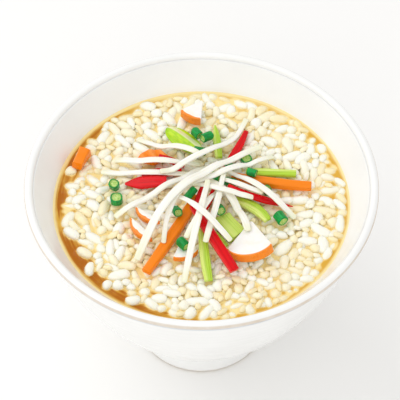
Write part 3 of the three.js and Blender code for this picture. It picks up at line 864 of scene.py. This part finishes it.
def grains_skin(grains, rng):
    """Every grain as a bent, slightly flattened ellipsoid whose ends are blunter than an ellipse's: rings at even
    steps of angle from end to end, their radius the sine raised to 0.78."""
    count = len(grains)
    x, y, z, heading, pitch, long, wide, thick = (column[:, None, None] for column in grains.T)
    bend = rng.uniform(-0.16, 0.16, (count, 1, 1)) * wide
    taper = rng.uniform(-0.14, 0.14, (count, 1, 1))
    lump = rng.uniform(-0.06, 0.06, (count, GRAIN_RINGS, GRAIN_SIDES))
    theta = (np.arange(1, GRAIN_RINGS + 1) / (GRAIN_RINGS + 1) * math.pi)[None, :, None]
    phi = (np.arange(GRAIN_SIDES) / GRAIN_SIDES * 2 * math.pi)[None, None]
    station = -np.cos(theta)
    girth = np.sin(theta) ** 0.78 * (1 + taper * station) * (1 + lump)
    rings = (
        station * long / 2 + 0 * phi,
        girth * np.cos(phi) * wide / 2 + bend * (station**2 - 0.4),
        girth * np.sin(phi) * thick / 2,
    )
    poles = np.broadcast_to([[[-1.0], [1.0]]], (count, 2, 1))
    tips = (poles * long / 2, 0.6 * bend + 0 * poles, 0 * poles)
    along, aside, over = (np.concatenate([r.reshape(count, -1, 1), t], 1) for r, t in zip(rings, tips))
    across, ahead = turned(along, aside, heading)
    points = np.concatenate([x + across, y + ahead, z + over + np.sin(pitch) * along], axis=2)
    _, quads, triangles = skin(points[0, :-2].reshape(GRAIN_RINGS, GRAIN_SIDES, 3), points[0, -2], points[0, -1])
    step = (np.arange(count) * points.shape[1])[:, None, None]
    quads, triangles = ((step + faces[None]).reshape(-1, faces.shape[1]) for faces in (quads, triangles))
    small = 1 - ease(grains[:, 6], 2.8 * MM, 3.8 * MM)
    tone = np.repeat(rng.uniform(0, 1, count) + 0.55 * small, points.shape[1])
    flat = points.reshape(-1, 3)
    sunk = 1 - ease(flat[:, 2], BROTH_LEVEL - 0.6 * MM, BROTH_LEVEL + 0.9 * MM)
    return flat, quads, triangles, {"tone": tone, "sunk": sunk}


def softened(field, times):
    """A field blurred by averaging each cell with its four neighbours, times over."""
    for _ in range(times):
        field = (2 * field + sum(np.roll(field, step, axis) for step in (1, -1) for axis in (0, 1))) / 6
    return field


def sampled(field, x, y):
    """A terrain field read between its cells, straight from one to the next."""
    u, v = (x + HALF_SPAN) / CELL, (y + HALF_SPAN) / CELL
    column, row = np.clip(u.astype(int), 0, CELLS - 2), np.clip(v.astype(int), 0, CELLS - 2)
    f, g = u - column, v - row
    near = field[row, column] * (1 - f) + field[row, column + 1] * f
    far = field[row + 1, column] * (1 - f) + field[row + 1, column + 1] * f
    return near * (1 - g) + far * g


def grain_choice(sizes):
    """What laid_grains takes, as it keeps what it made from the same values."""
    return sizes.grain_length, sizes.grain_width, sizes.swell, sizes.tries, sizes.seed


def broth_skin(bowl, rice):
    """The liquid: level, creeping up the wall and up each grain that stands out of it, over the bowl's own inside.
    deep says how far down the next solid thing is, amber where the broth lies open and darkest."""
    _, terrain = laid_grains(*grain_choice(rice))
    proud = softened((terrain > BROTH_LEVEL).astype(float), 5)
    film = softened(terrain, 2)
    reach = float(wall_radius(BROTH_LEVEL + bowl.meniscus)) + 0.03 * MM
    radii = reach * np.concatenate([np.linspace(0.02, 0.96, 92), 1 - 0.04 * np.linspace(0.86, 0, 8) ** 1.6])

    def top(x, y):
        climb = np.exp(-(reach - np.hypot(x, y)) / (0.8 * MM))
        return BROTH_LEVEL - 0.1 * MM + bowl.meniscus * (climb + 0.35 * np.clip(2 * sampled(proud, x, y), 0, 1))

    def bottom(x, y):
        return wall_height(np.hypot(x, y)) + 0.3 * MM

    rings = disc(radii, top, bottom, BROTH_COLUMNS)
    x, y = rings[..., 0], rings[..., 1]
    out, bearing = np.hypot(x, y), np.arctan2(y, x)
    depth = np.minimum(BROTH_LEVEL - sampled(film, x, y), 0.45 * (BROTH_LEVEL - wall_height(out)))
    opened = np.minimum(1, 1.4 * open_water(bearing) ** 0.6) * ease(out, 0.55 * reach, 0.85 * reach)
    by_wall = 0.5 + 0.5 * ease(out, 0.75 * reach, 0.95 * reach)
    far_side = np.maximum(0, np.sin(bearing)) ** 3
    deep = np.clip(depth / (2.4 * MM), 0, 1) * (1 - 0.5 * far_side) * by_wall
    return lens_skin(rings, {"deep": deep, "amber": deep * opened})


def core_skin():
    """The mass under the loose grains, down to the heap's own underside, which is a shallow bowl."""
    radii = RICE_RADIUS * np.linspace(0.015, 0.95, 110)

    def bottom(x, y):
        share = np.hypot(x, y) / RICE_RADIUS
        return BROTH_LEVEL - 2.4 * MM - (RICE_SUNK - 2 * MM) * (1 - share**2)

    return lens_skin(disc(radii, core_top, bottom, CORE_COLUMNS), {})


# ---- Toppings: bars and shoots ----

# For each kind of bar: the sides of its CAD bar, the rows and columns of its skin, how far its ends stand out, and
# the share of its usual width and thickness that it never falls below. Then how large the rings are that close it,
# and the way that a bar's middle line runs, roughly: away from the eater.
BARS = {
    "shoot": (6, 90, 20, 0.6 * MM, 0.8),
    "pepper": (8, 60, 48, 0.2 * MM, 0.0),
    "carrot": (8, 70, 48, 0.12 * MM, 0.0),
    "celery": (8, 60, 72, 0.15 * MM, 0.0),
}
CAP_RINGS = np.array([0.3, 0.6, 0.82, 0.94])
ONWARD = (0.3, 1, 0)


def carried(node, section, trait, sides, rows, columns, cap, least):
    """A bar's skin: a section carried along its middle line. section gives how far across and over each ring point
    lies, in shares of the half width and half thickness, from its angle, its share along and the bar's trait. Both
    ends are closed by rings that shrink on a quarter ellipse, which stands out by cap. Returns the skin, the ring
    points' angle and share along, and their straightened places in millimetres."""
    middles, half_wide, half_thick = spine(node, sides, rows)
    half_wide, half_thick = (np.maximum(half, least * np.median(half)) for half in (half_wide, half_thick))
    heading, side, over = axes_along(middles)
    beyond = cap * np.sqrt(1 - CAP_RINGS**2)
    index = np.concatenate([0 * CAP_RINGS, np.arange(rows), 0 * CAP_RINGS + rows - 1]).astype(int)
    size = np.concatenate([CAP_RINGS, np.ones(rows), CAP_RINGS[::-1]])[:, None]
    push = np.concatenate([-beyond, np.zeros(rows), beyond[::-1]])[:, None]
    angle = np.broadcast_to(round_turn(columns), (len(index), columns))
    along = np.broadcast_to(np.linspace(0, 1, rows)[index][:, None], angle.shape)
    across, up = section(angle, along, trait)
    across, up = across * size * half_wide[index][:, None], up * size * half_thick[index][:, None]
    base = middles[index] + push * heading[index]
    rings = base[:, None] + across[..., None] * side[index][:, None] + up[..., None] * over[index][:, None]
    travelled = np.concatenate([[0], np.cumsum(np.linalg.norm(np.diff(middles, axis=0), axis=1))])
    station = (travelled[index] + push[:, 0])[:, None] + 0 * angle
    straight = np.stack([across, station, up], -1) / MM
    first, last = middles[0] - cap * heading[0], middles[-1] + cap * heading[-1]
    return skin(rings, first, last), angle, along, straight


def shoot_section(angle, along, phase):
    """A soft oval, its width wavering along it, with two faint veins and a shallow groove on top."""
    waver = 1 + 0.05 * wander(along, np.random.default_rng(int(phase * 1000)))
    veins = 1 + 0.03 * np.sin(3 * angle + phase + 5 * along)
    across, over = superellipse(angle, 0.85)
    return across * waver * veins, over * waver * (1 - 0.14 * bell(np.cos(angle), 0.3))


def pepper_section(angle, along, phase):
    """A strip with rounded edges, its upper skin crowned and creased and its underside a little hollow."""
    across, over = superellipse(angle, 0.6)
    dip = 1 - 0.3 * (over < 0) * bell(across, 0.5)
    crease = 1 - 0.12 * (over > 0) * bell(across + 0.25, 0.16)
    waver = 1 + 0.04 * np.sin(7 * along + phase)
    return across * waver, over * dip * crease * (1 + 0.06 * np.sin(11 * along + phase))


def carrot_section(angle, along, phase):
    """A knife-cut stick: nearly square, leaning to and fro along it, with slightly unequal faces."""
    across, over = superellipse(angle, 0.36)
    waver = 1 + 0.035 * np.sin(5 * along + phase) + 0.015 * np.sin(23 * along + 2 * phase)
    lean = 0.12 * over * np.sin(2.4 * along + phase)
    return across * waver + lean, over * (1 + 0.04 * np.sin(9 * along + 3 * phase))


def celery_section(angle, along, rib):
    """A stalk: a crown of narrow ribs above, a shallow hollow below."""
    across, over = superellipse(angle, 0.62)
    ribs = 1 + rib * np.cos(across * math.pi * 4.5) * (over > 0)
    hollow = 1 - 0.45 * (over < 0) * bell(across, 0.55)
    return across * (1 + 0.03 * np.sin(6 * along)), over * ribs * hollow


def phases(nodes, first):
    """A random phase for each bar, from its own seed."""
    return [np.random.default_rng(first + seed).uniform(0, 6.3) for seed in range(len(nodes))]


def near_ends(angle, along, across):
    """1 at both ends of a bar and 0 from a sixth of its length inwards."""
    return 1 - ease(np.minimum(along, 1 - along), 0, 0.16)


def paler_side(angle, along, across):
    """1 on one side of a bar, falling towards its other."""
    return 1 - ease(across, -0.7, 0.1) * 0.85


def facing(degrees, width):
    """What gives 1 on the side of a section that faces an angle, falling off as a bell."""

    def share(angle, along, across):
        return bell(turn_from(math.radians(degrees), angle), width)

    return share


def make_bars(kind, nodes, finish, section, traits, mark, share):
    """Makes a fine bar for each CAD bar. share works its mark out from each point's angle, share along and
    millimetres across. The straightened places are moved off from bar to bar, so that no two match."""
    for seed, (node, trait) in enumerate(zip(nodes, traits)):
        parts, angle, along, straight = carried(node, section, trait, *BARS[kind])
        marks = {mark: with_poles(share(angle, along, straight[..., 0]))}
        marks["straight"] = with_poles(straight) + 17.3 * seed
        stand_in(node, parts, marks, finish, kind)


# ---- Toppings: flat pieces ----

# How far out the rings of a flat piece's faces lie, as shares of the way to its edge, the radius of that edge, and
# how far apart ridge and groove lie on a creased top. Points on a wedge's side and arc, and on a half moon's curves.
SHELL_SHARES = (0.04, 0.2, 0.4, 0.58, 0.72, 0.83, 0.9, 0.95)
FLAT_EDGE = 0.45 * MM
RIDGE = 2.3 * MM
SIDE_COUNT, ARC_COUNT = 36, 60
OUTER_COUNT, INNER_COUNT = 72, 60


def arc(radius, centre, start, end, count):
    """Points evenly spaced on a circle about (0, centre), from one angle to another."""
    x, y = polar(radius, np.linspace(start, end, count))
    return np.column_stack([x, centre + y])


def run_between(first, last, count):
    """Points evenly spaced on a straight line, without its last."""
    return np.linspace(first, last, count, endpoint=False)


def sector_outline(radius, spread, reach=0.0):
    """A wedge of a round slice, point on -Y: two straight sides and an arc. The point lies beyond the arc's centre by
    reach. Also which points lie on the arc."""
    half = spread / 2
    middle = (reach - radius) / 2
    rind = arc(radius, middle, math.pi / 2 - half, math.pi / 2 + half, ARC_COUNT)
    point = (0, middle - reach)
    outline = np.vstack([run_between(point, rind[0], SIDE_COUNT), rind, run_between(rind[-1], point, SIDE_COUNT)])
    return outline, np.repeat([0.0, 1.0, 0.0], [SIDE_COUNT, ARC_COUNT, SIDE_COUNT])


def half_moon_outline(radius, spread):
    """The part of a round slice beyond a shallow inner curve. Also which points lie on the arc."""
    half = spread / 2
    middle = radius * (1 + math.cos(half)) / 2
    rind = arc(radius, -middle, math.pi / 2 - half, math.pi / 2 + half, OUTER_COUNT)
    share = np.linspace(0, 1, INNER_COUNT, endpoint=False)[:, None]
    control = np.array([0, -radius * 0.32])
    inner = (1 - share) ** 2 * rind[-1] + 2 * share * (1 - share) * control + share**2 * rind[0]
    return np.vstack([rind, inner]), np.repeat([1.0, 0.0], [OUTER_COUNT, INNER_COUNT])


def rounded(values, reach):
    """A closed outline with its corners eased: each point moved to the mean of those within reach of it."""
    return np.mean([np.roll(values, shift, 0) for shift in range(-reach, reach + 1)], axis=0)


def cut_straight(outline, corners):
    """A closed outline cut straight from each of its corners to the next, with as many points as before."""
    knots = np.linspace(0, len(corners), len(outline), endpoint=False)
    closed = outline[[*corners, corners[0]]]
    return np.stack([np.interp(knots, np.arange(len(closed)), values) for values in closed.T], -1)


def pillow(outline, thick, edge, dome):
    """A slab on a star-shaped outline, as rings from the middle of its underside, out, round its edge on a quarter
    circle of radius edge, up its side, and back in over its top, whose middle stands up by dome."""
    hub = outline.mean(0)
    arms = outline - hub
    reach = np.linalg.norm(arms, axis=1)
    quarter = np.radians([0, 22, 45, 68, 90])[:, None]
    face = np.array(SHELL_SHARES)[:, None]
    inset = edge * (1 - np.sin(quarter))
    shares = np.concatenate([face * (1 - edge / reach), 1 - inset / reach, np.ones((2, len(arms)))])
    side = np.array([[0.5], [0.0]]) * (thick / 2 - edge)
    heights = np.concatenate([thick / 2 + dome * (1 - face**2), thick / 2 - edge + edge * np.cos(quarter), side])
    shares = np.concatenate([shares, shares[-2::-1]])
    heights = np.concatenate([heights, -heights[-2::-1]]) + 0 * shares
    plan = hub + shares[..., None] * arms
    rings = np.concatenate([plan, heights[..., None]], -1)
    poles = np.array([[*hub, heights[0, 0]], [*hub, heights[-1, 0]]])
    return rings, poles, shares * reach


def slab_template(outline, thick):
    """The corners of a flat slab on an outline, as the CAD piece has them."""
    return np.vstack([np.column_stack([outline, np.full(len(outline), side * thick / 2)]) for side in (-1, 1)])


def flat_piece(node, cut, thick, material, slot, rind=0.7 * MM, dome=0.15 * MM, crease=0.0, seed=0):
    """A pillow laid where its CAD slab lies, with a waver in its outline and faces. cut is its outline, and 1 on the
    points whose side carries the rind, which also shows on the faces as far in as rind. crease is the height of the
    ridges that its top is folded into."""
    outline, mark = cut
    place = seat(node, slab_template(outline, thick))
    rng = np.random.default_rng(seed)
    outline, mark = rounded(outline, 3), rounded(mark, 1)
    rings, poles, from_hub = pillow(outline, thick, FLAT_EDGE, dome)
    turn = round_turn(len(outline))[0]
    waver = sum(np.sin(k * turn + rng.uniform(0, 6.3)) / k for k in (3, 5, 8)) * 0.16 * MM
    spoke = unit(rings[..., :2] - poles[0][:2])
    rings[..., :2] += spoke * (waver * from_hub / from_hub.max())[..., None]
    upper = rings[..., 2] > 0
    ridge = np.abs(np.mod((rings[..., 0] + 0.45 * rings[..., 1]) / RIDGE, 2) - 1) * upper
    rings[..., 2] += crease * (ridge - 0.5) * upper
    reach = np.linalg.norm(outline - outline.mean(0), axis=1)
    near_side = 1 - ease(reach - from_hub, 0.55 * rind, rind)
    marks = {
        "rind": with_poles(near_side * mark, 0.0, 0.0),
        # On a creased piece the cut mark lies on its ridge tops, where the carrot's finish paints a highlight.
        "cut": with_poles(ease(ridge, 0.5, 0.8)) * bool(crease),
        "straight": with_poles(rings, *poles) / MM + 9.1 * seed,
    }
    stand_in(node, skin(seated(rings, place), *seated(poles, place)), marks, material, slot)


# ---- Toppings: the rest ----


def wedge_point(x, y, z):
    """A point of a unit ball drawn out into a wedge: long, its underside round, its top falling off either side of a
    ridge that runs along it."""
    ridge = 2.9 * z * (1 - np.minimum(1, np.abs(y + 0.15)) * 0.8)
    return np.stack([10.5 * x, 4.6 * y, np.where(z > 0, ridge, 1.6 * z)], -1) * MM


def ball(theta, angle):
    """A unit ball's points: theta runs from one end of X to the other, angle about X."""
    return np.cos(theta) + 0 * angle, np.sin(theta) * np.cos(angle), np.sin(theta) * np.sin(angle)


def wedge_skin(node):
    """The wedge as rings about its long axis, laid where its CAD piece lies. cut is the flesh along the far side of
    the ridge, tip the darker skin at the ends."""
    coarse = ball(np.radians(np.linspace(0, 180, 9))[None], np.radians(np.linspace(0, 360, 13))[:, None])
    place = seat(node, wedge_point(*coarse).reshape(-1, 3))
    x, y, z = ball(np.linspace(0.04, math.pi - 0.04, 72)[:, None], round_turn(96))
    local = wedge_point(x, y, z)
    local[..., 2] += 0.06 * MM * np.sin(local[..., 1] / (0.45 * MM)) * (z > 0)
    cut = ease(z, 0.05, 0.25) * ease(y, -0.1, 0.05) * (1 - ease(y, 0.45, 0.7))
    tip = np.maximum(ease(x, 0.7, 0.98), 0.7 * ease(-x, 0.75, 1))
    ends = seated(wedge_point(np.array([1.0, -1.0]), np.zeros(2), np.zeros(2)), place)
    marks = {"cut": with_poles(cut), "tip": with_poles(tip), "straight": with_poles(local) / MM}
    return skin(seated(local, place), *ends), marks


def round_axis(points):
    """The axis of a short cylinder: the principal axis whose spread differs from the other two's."""
    spread, axes = np.linalg.svd(points - points.mean(0))[1:]
    return axes[0] if spread[0] - spread[1] > spread[1] - spread[2] else axes[2]


# Half a scallion's section: shares of its radius, with how far back from its end each lies, in shares of the hollow
# for the core and the wall's inner side, then in millimetres round the wall's end.
SCALLION_CORE = ((0.1, 0.7), (0.3, 0.8), (0.45, 1.0), (0.56, 1.0), (0.66, 0.8), (0.7, 0.3))
SCALLION_WALL = ((0.76, 0.06), (0.84, 0.0), (0.93, 0.08), (0.985, 0.3), (1.0, 0.7))


def scallion_skin(node, hollow, rng):
    """A cut length of leaf: a wall round a core that lies back at both ends. Rings run from the middle of one core,
    out over its bulge, up inside the wall, over the wall's rounded end, along the outside, and back the same way."""
    points = corners_of(node)
    middle, axis = points.mean(0), round_axis(points)
    axis = axis if axis[2] >= 0 else -axis
    offsets = points - middle
    end = np.abs(offsets @ axis).max()
    radius = np.linalg.norm(offsets - np.outer(offsets @ axis, axis), axis=1).max()
    side = unit(np.cross(axis, (0.31, 0.2, 0.93) if abs(axis[2]) < 0.9 else (1, 0, 0)))
    other = np.cross(axis, side)
    half = [(r, end - back * hollow) for r, back in SCALLION_CORE]
    half += [(r, end - back * MM) for r, back in SCALLION_WALL] + [(0.985, 0.35 * end)]
    profile = np.array([(r, -z) for r, z in half] + [(r, z) for r, z in reversed(half)])
    angle = round_turn(40)
    shape = 1 + 0.05 * np.sin(2 * angle + rng.uniform(0, 6.3)) + 0.04 * np.sin(4 * angle + rng.uniform(0, 6.3))
    out = radius * profile[:, :1] * (shape + 0.012 * np.sin(13 * angle)) / 1.07
    slant = rng.uniform(-0.08, 0.08) * radius * np.cos(angle + rng.uniform(0, 6.3))
    height = profile[:, 1:] + slant * np.sign(profile[:, 1:]) * profile[:, :1]
    local = np.stack([out * np.cos(angle), height, out * np.sin(angle)], -1)
    rings = middle + local[..., :1] * side + local[..., 1:2] * axis + local[..., 2:] * other
    cut = (1 - ease(profile[:, :1], 0.64, 0.8)) + 0 * angle
    poles = [middle + sign * (end - hollow * 0.66) * axis for sign in (-1, 1)]
    straight = with_poles(local) / MM + rng.uniform(0, 90)
    return skin(rings, *poles), {"cut": with_poles(cut), "straight": straight}


# The ribbed slab's size, and how large the rings are that close its ends.
STALK = {"wide": 9 * MM, "thick": 2 * MM, "long": 12.4 * MM, "arch": 0.8 * MM}
CUT_RINGS = np.array([0.25, 0.6, 0.85, 0.96])


def stalk_section(angle, rib):
    """Across an arched stalk: a flattened oval bent over the arch, with ribs on its upper face."""
    across, over = superellipse(angle, 0.3)
    ribs = rib * (over > 0) * (0.5 + 0.5 * np.cos(across * math.pi * 7))
    height = STALK["arch"] * (1 - across**2) + over * STALK["thick"] / 2 + ribs
    return across * STALK["wide"] / 2, height


def stalk_skin(node, rib):
    """The section carried straight along the slab, with ends that are cut a little unevenly."""
    half_long, middle = STALK["long"] / 2, STALK["arch"] / 2
    x, z = stalk_section(np.radians(np.linspace(0, 360, 33)), 0)
    template = np.vstack([np.column_stack([x, np.full(len(x), sign * half_long), z]) for sign in (-1, 1)])
    place = seat(node, template)
    share = np.concatenate([-np.ones(4), np.linspace(-0.97, 0.97, 40), np.ones(4)])[:, None]
    size = np.concatenate([CUT_RINGS, np.ones(40), CUT_RINGS[::-1]])[:, None]
    x, z = stalk_section(round_turn(120), rib)
    z = middle + (z - middle) * size + 0 * share
    uneven = 0.3 * MM * np.sin(x / (1.7 * MM)) * np.sign(share) * (np.abs(share) > 0.96)
    x = x * size * (1 + 0.03 * np.sin(share * 4))
    local = np.stack([x, share * half_long + uneven, z], -1)
    ends = seated(np.array([[0, sign * half_long, middle] for sign in (-1, 1)]), place)
    pale = 0.62 + 0.3 * np.sin(x / (0.75 * MM)) + 0 * share
    return skin(seated(local, place), *ends), {"cut": with_poles(pale), "straight": with_poles(local) / MM}


# ---- The stage ----

# Where the camera looks, how far up it stands, its distance in metres, its lens and sensor in millimetres, its shift
# in shares of the frame, what it shows from and to, and half the floor's side. Then the sky's strength and the lamps.
TARGET = Vector((0, 0, RIM_HEIGHT - 3 * MM))
ELEVATION = math.radians(51)
DISTANCE = 1.8778
LENS = 400
SHIFT = (-0.00375, -0.0275)
SENSOR = 36
CLIPPING = (0.1, 20)
FLOOR_REACH = 4.0
SKY = 0.8
LAMPS = {
    "key": {"place": (-0.85, 0.5, 1.35), "size": 1.8, "power": 7.5},
    "fill": {"place": (-0.35, -1.3, 1.15), "size": 1.9, "power": 6},
}


def build_camera(scene):
    """A long lens from the eater's side, looking down on the middle of the rim."""
    data = bpy.data.cameras.new("camera")
    data.lens, data.sensor_width = LENS, SENSOR
    data.shift_x, data.shift_y = SHIFT
    data.clip_start, data.clip_end = CLIPPING
    camera = bpy.data.objects.new("camera", data)
    back = Vector((0, -math.cos(ELEVATION), math.sin(ELEVATION)))
    camera.location = TARGET + DISTANCE * back
    camera.rotation_euler = (-back).to_track_quat("-Z", "Y").to_euler()
    scene.collection.objects.link(camera)
    scene.camera = camera


def build_floor(colours):
    """A flat square, far wider than the view."""
    corners = FLOOR_REACH * np.array([(-1, -1, 0), (1, -1, 0), (1, 1, 0), (-1, 1, 0)])
    floor = to_mesh("floor", corners, np.array([[0, 1, 2, 3]]), np.zeros((0, 3), int), {})
    floor.data.materials.append(floor_finish(colours))


def build_lights(scene):
    """A broad key from the far left, a wider fill from the near left, and a white sky."""
    for name, lamp in LAMPS.items():
        data = bpy.data.lights.new(name, "AREA")
        data.shape, data.size, data.energy = "DISK", lamp["size"], lamp["power"]
        light = bpy.data.objects.new(name, data)
        light.location = lamp["place"]
        light.rotation_euler = (TARGET - light.location).to_track_quat("-Z", "Y").to_euler()
        scene.collection.objects.link(light)
    world = bpy.data.worlds.new("sky")
    world.use_nodes = True
    background = world.node_tree.nodes["Background"]
    background.inputs["Color"].default_value = (1, 1, 1, 1)
    background.inputs["Strength"].default_value = SKY
    scene.world = world


# ---- Operators ----


class CONGEE_OT_stage(Operator):
    """Sets the camera, a plain floor and soft studio light"""

    bl_idname = "congee.stage"
    bl_label = "Stage"

    def execute(self, context):
        scene = context.scene
        scene.view_settings.view_transform = "Standard"
        build_camera(scene)
        build_floor(settings("colours"))
        build_lights(scene)
        return {"FINISHED"}


class CONGEE_OT_bowl(Operator):
    """Makes the glazed bowl"""

    bl_idname = "congee.bowl"
    bl_label = "Bowl"

    def execute(self, context):
        bowl = to_mesh("glazed_bowl", *bowl_skin(settings("bowl")), {})
        finish_piece(bowl, porcelain_finish(settings("colours")), "porcelain", "bowl")
        return {"FINISHED"}


class CONGEE_OT_broth(Operator):
    """Makes the thick broth round and between the grains"""

    bl_idname = "congee.broth"
    bl_label = "Broth"

    def execute(self, context):
        broth = to_mesh("gold_broth", *broth_skin(settings("bowl"), settings("rice")))
        finish_piece(broth, broth_finish(settings("colours")), "broth", "broth")
        return {"FINISHED"}


class CONGEE_OT_rice(Operator):
    """Makes the heap of cooked rice: its soft mass and the grains lying on it"""

    bl_idname = "congee.rice"
    bl_label = "Rice"

    def execute(self, context):
        finish_piece(to_mesh("rice_mass", *core_skin()), rice_core_finish(), "rice", "rice")
        grains, _ = laid_grains(*grain_choice(settings("rice")))
        made = grains_skin(grains, np.random.default_rng(settings("rice").seed))
        finish_piece(to_mesh("rice_grains", *made), rice_finish(settings("colours")), "rice")
        return {"FINISHED"}


class CONGEE_OT_shoots(Operator):
    """Makes the bean shoots"""

    bl_idname = "congee.shoots"
    bl_label = "Bean shoots"

    def execute(self, context):
        nodes, finish = nodes_of("shoot"), shoot_finish(settings("colours"))
        make_bars("shoot", nodes, finish, shoot_section, phases(nodes, 100), "tip", near_ends)
        return {"FINISHED"}


class CONGEE_OT_peppers(Operator):
    """Makes the strips of red pepper"""

    bl_idname = "congee.peppers"
    bl_label = "Red pepper"

    def execute(self, context):
        nodes, finish = nodes_of("pepper"), pepper_finish(settings("colours"))
        # The pepper's cut mark lies on the edge that faces the lamps: pale flesh together with a painted highlight.
        make_bars("pepper", nodes, finish, pepper_section, phases(nodes, 100), "cut", facing(165, 0.35))
        return {"FINISHED"}


class CONGEE_OT_carrots(Operator):
    """Makes the sticks, the block and the chunk of carrot"""

    bl_idname = "congee.carrots"
    bl_label = "Carrot"

    def execute(self, context):
        nodes, finish = ("carrot_near", "carrot_right", "carrot_block"), carrot_finish(settings("colours"))
        # The carrot's cut mark is a painted highlight along the upper edge that faces the lamps.
        make_bars("carrot", nodes, finish, carrot_section, phases(nodes, 0), "cut", facing(135, 0.3))
        outline, mark = sector_outline(7.4 * MM, 2.3)
        cut = cut_straight(outline, CHUNK_CORNERS), mark
        flat_piece("carrot_slice", cut, 3 * MM, finish, "carrot", dome=0.5 * MM, crease=0.9 * MM)
        return {"FINISHED"}


class CONGEE_OT_celery(Operator):
    """Makes the sticks and the ribbed slab of celery"""

    bl_idname = "congee.celery"
    bl_label = "Celery"

    def execute(self, context):
        finish, rib = celery_finish(settings("colours")), settings("toppings").stalk_rib
        nodes = [node for node in nodes_of("celery") if node != "celery_slab"]
        ribs = [rib / (1.1 * MM)] * len(nodes)
        make_bars("celery", nodes, finish, celery_section, ribs, "cut", paler_side)
        stand_in("celery_slab", *stalk_skin("celery_slab", rib), finish, "celery")
        return {"FINISHED"}


class CONGEE_OT_cucumber(Operator):
    """Makes the green wedge"""

    bl_idname = "congee.cucumber"
    bl_label = "Cucumber"

    def execute(self, context):
        finish = cucumber_finish(settings("colours"))
        stand_in("cucumber_wedge", *wedge_skin("cucumber_wedge"), finish, "cucumber")
        return {"FINISHED"}


# Fish cake: each one's outline, its thickness, and how wide its rind is in shares of the usual.
FISH_CAKES = {
    "fishcake_far": (sector_outline(11.5 * MM, 0.95), 4.4 * MM, 1.8),
    "fishcake_small": (sector_outline(9 * MM, 1.4), 2.6 * MM, 1.0),
    "fishcake_big": (sector_outline(12.5 * MM, 1.85, 8 * MM), 4.4 * MM, 1.0),
    "fishcake_left_back": (half_moon_outline(8.5 * MM, 1.8), 2.6 * MM, 2.6),
    "fishcake_left_front": (half_moon_outline(9.5 * MM, 1.8), 3.2 * MM, 2.6),
}
# The points of the carrot slice's outline that are the corners of the chunk.
CHUNK_CORNERS = (0, 36, 52, 66, 80, 95)


class CONGEE_OT_fish_cakes(Operator):
    """Makes the pieces of fish cake"""

    bl_idname = "congee.fish_cakes"
    bl_label = "Fish cake"

    def execute(self, context):
        finish, rind = cake_finish(settings("colours")), settings("toppings").rind
        for seed, (node, (cut, thick, share)) in enumerate(FISH_CAKES.items()):
            flat_piece(node, cut, thick, finish, "fishcake", rind=share * rind, seed=seed)
        return {"FINISHED"}


class CONGEE_OT_scallions(Operator):
    """Makes the chopped scallion"""

    bl_idname = "congee.scallions"
    bl_label = "Scallion"

    def execute(self, context):
        finish, hollow = scallion_finish(settings("colours")), settings("toppings").hollow
        for seed, node in enumerate(nodes_of("scallion")):
            stand_in(node, *scallion_skin(node, hollow, np.random.default_rng(40 + seed)), finish, "scallion")
        return {"FINISHED"}


class CONGEE_PT_panel(Panel):
    """Lists the pieces and their sizes and colours"""

    bl_label = "Congee Bowl"
    bl_idname = "CONGEE_PT_panel"
    bl_space_type = "VIEW_3D"
    bl_region_type = "UI"
    bl_category = "Congee"

    def draw(self, context):
        for operator in OPERATORS:
            self.layout.operator(operator.bl_idname)
        for part in GROUPS:
            box = self.layout.box()
            for key in GROUPS[part].__annotations__:
                box.prop(settings(part), key)


GROUPS = {"bowl": CongeeBowlSizes, "rice": CongeeRiceSizes, "toppings": CongeeToppingSizes, "colours": CongeeColours}
OPERATORS = (
    CONGEE_OT_stage,
    CONGEE_OT_bowl,
    CONGEE_OT_broth,
    CONGEE_OT_rice,
    CONGEE_OT_fish_cakes,
    CONGEE_OT_carrots,
    CONGEE_OT_celery,
    CONGEE_OT_cucumber,
    CONGEE_OT_peppers,
    CONGEE_OT_scallions,
    CONGEE_OT_shoots,
)


def register():
    for made in (*GROUPS.values(), *OPERATORS, CONGEE_PT_panel):
        bpy.utils.register_class(made)
    for part, group in GROUPS.items():
        setattr(bpy.types.Scene, "congee_" + part, PointerProperty(type=group))


def unregister():
    for part in GROUPS:
        delattr(bpy.types.Scene, "congee_" + part)
    for made in reversed((*GROUPS.values(), *OPERATORS, CONGEE_PT_panel)):
        bpy.utils.unregister_class(made)


def main():
    register()
    for operator in OPERATORS:
        group, name = operator.bl_idname.split(".")
        getattr(getattr(bpy.ops, group), name)()


if __name__ == "__main__":
    main()
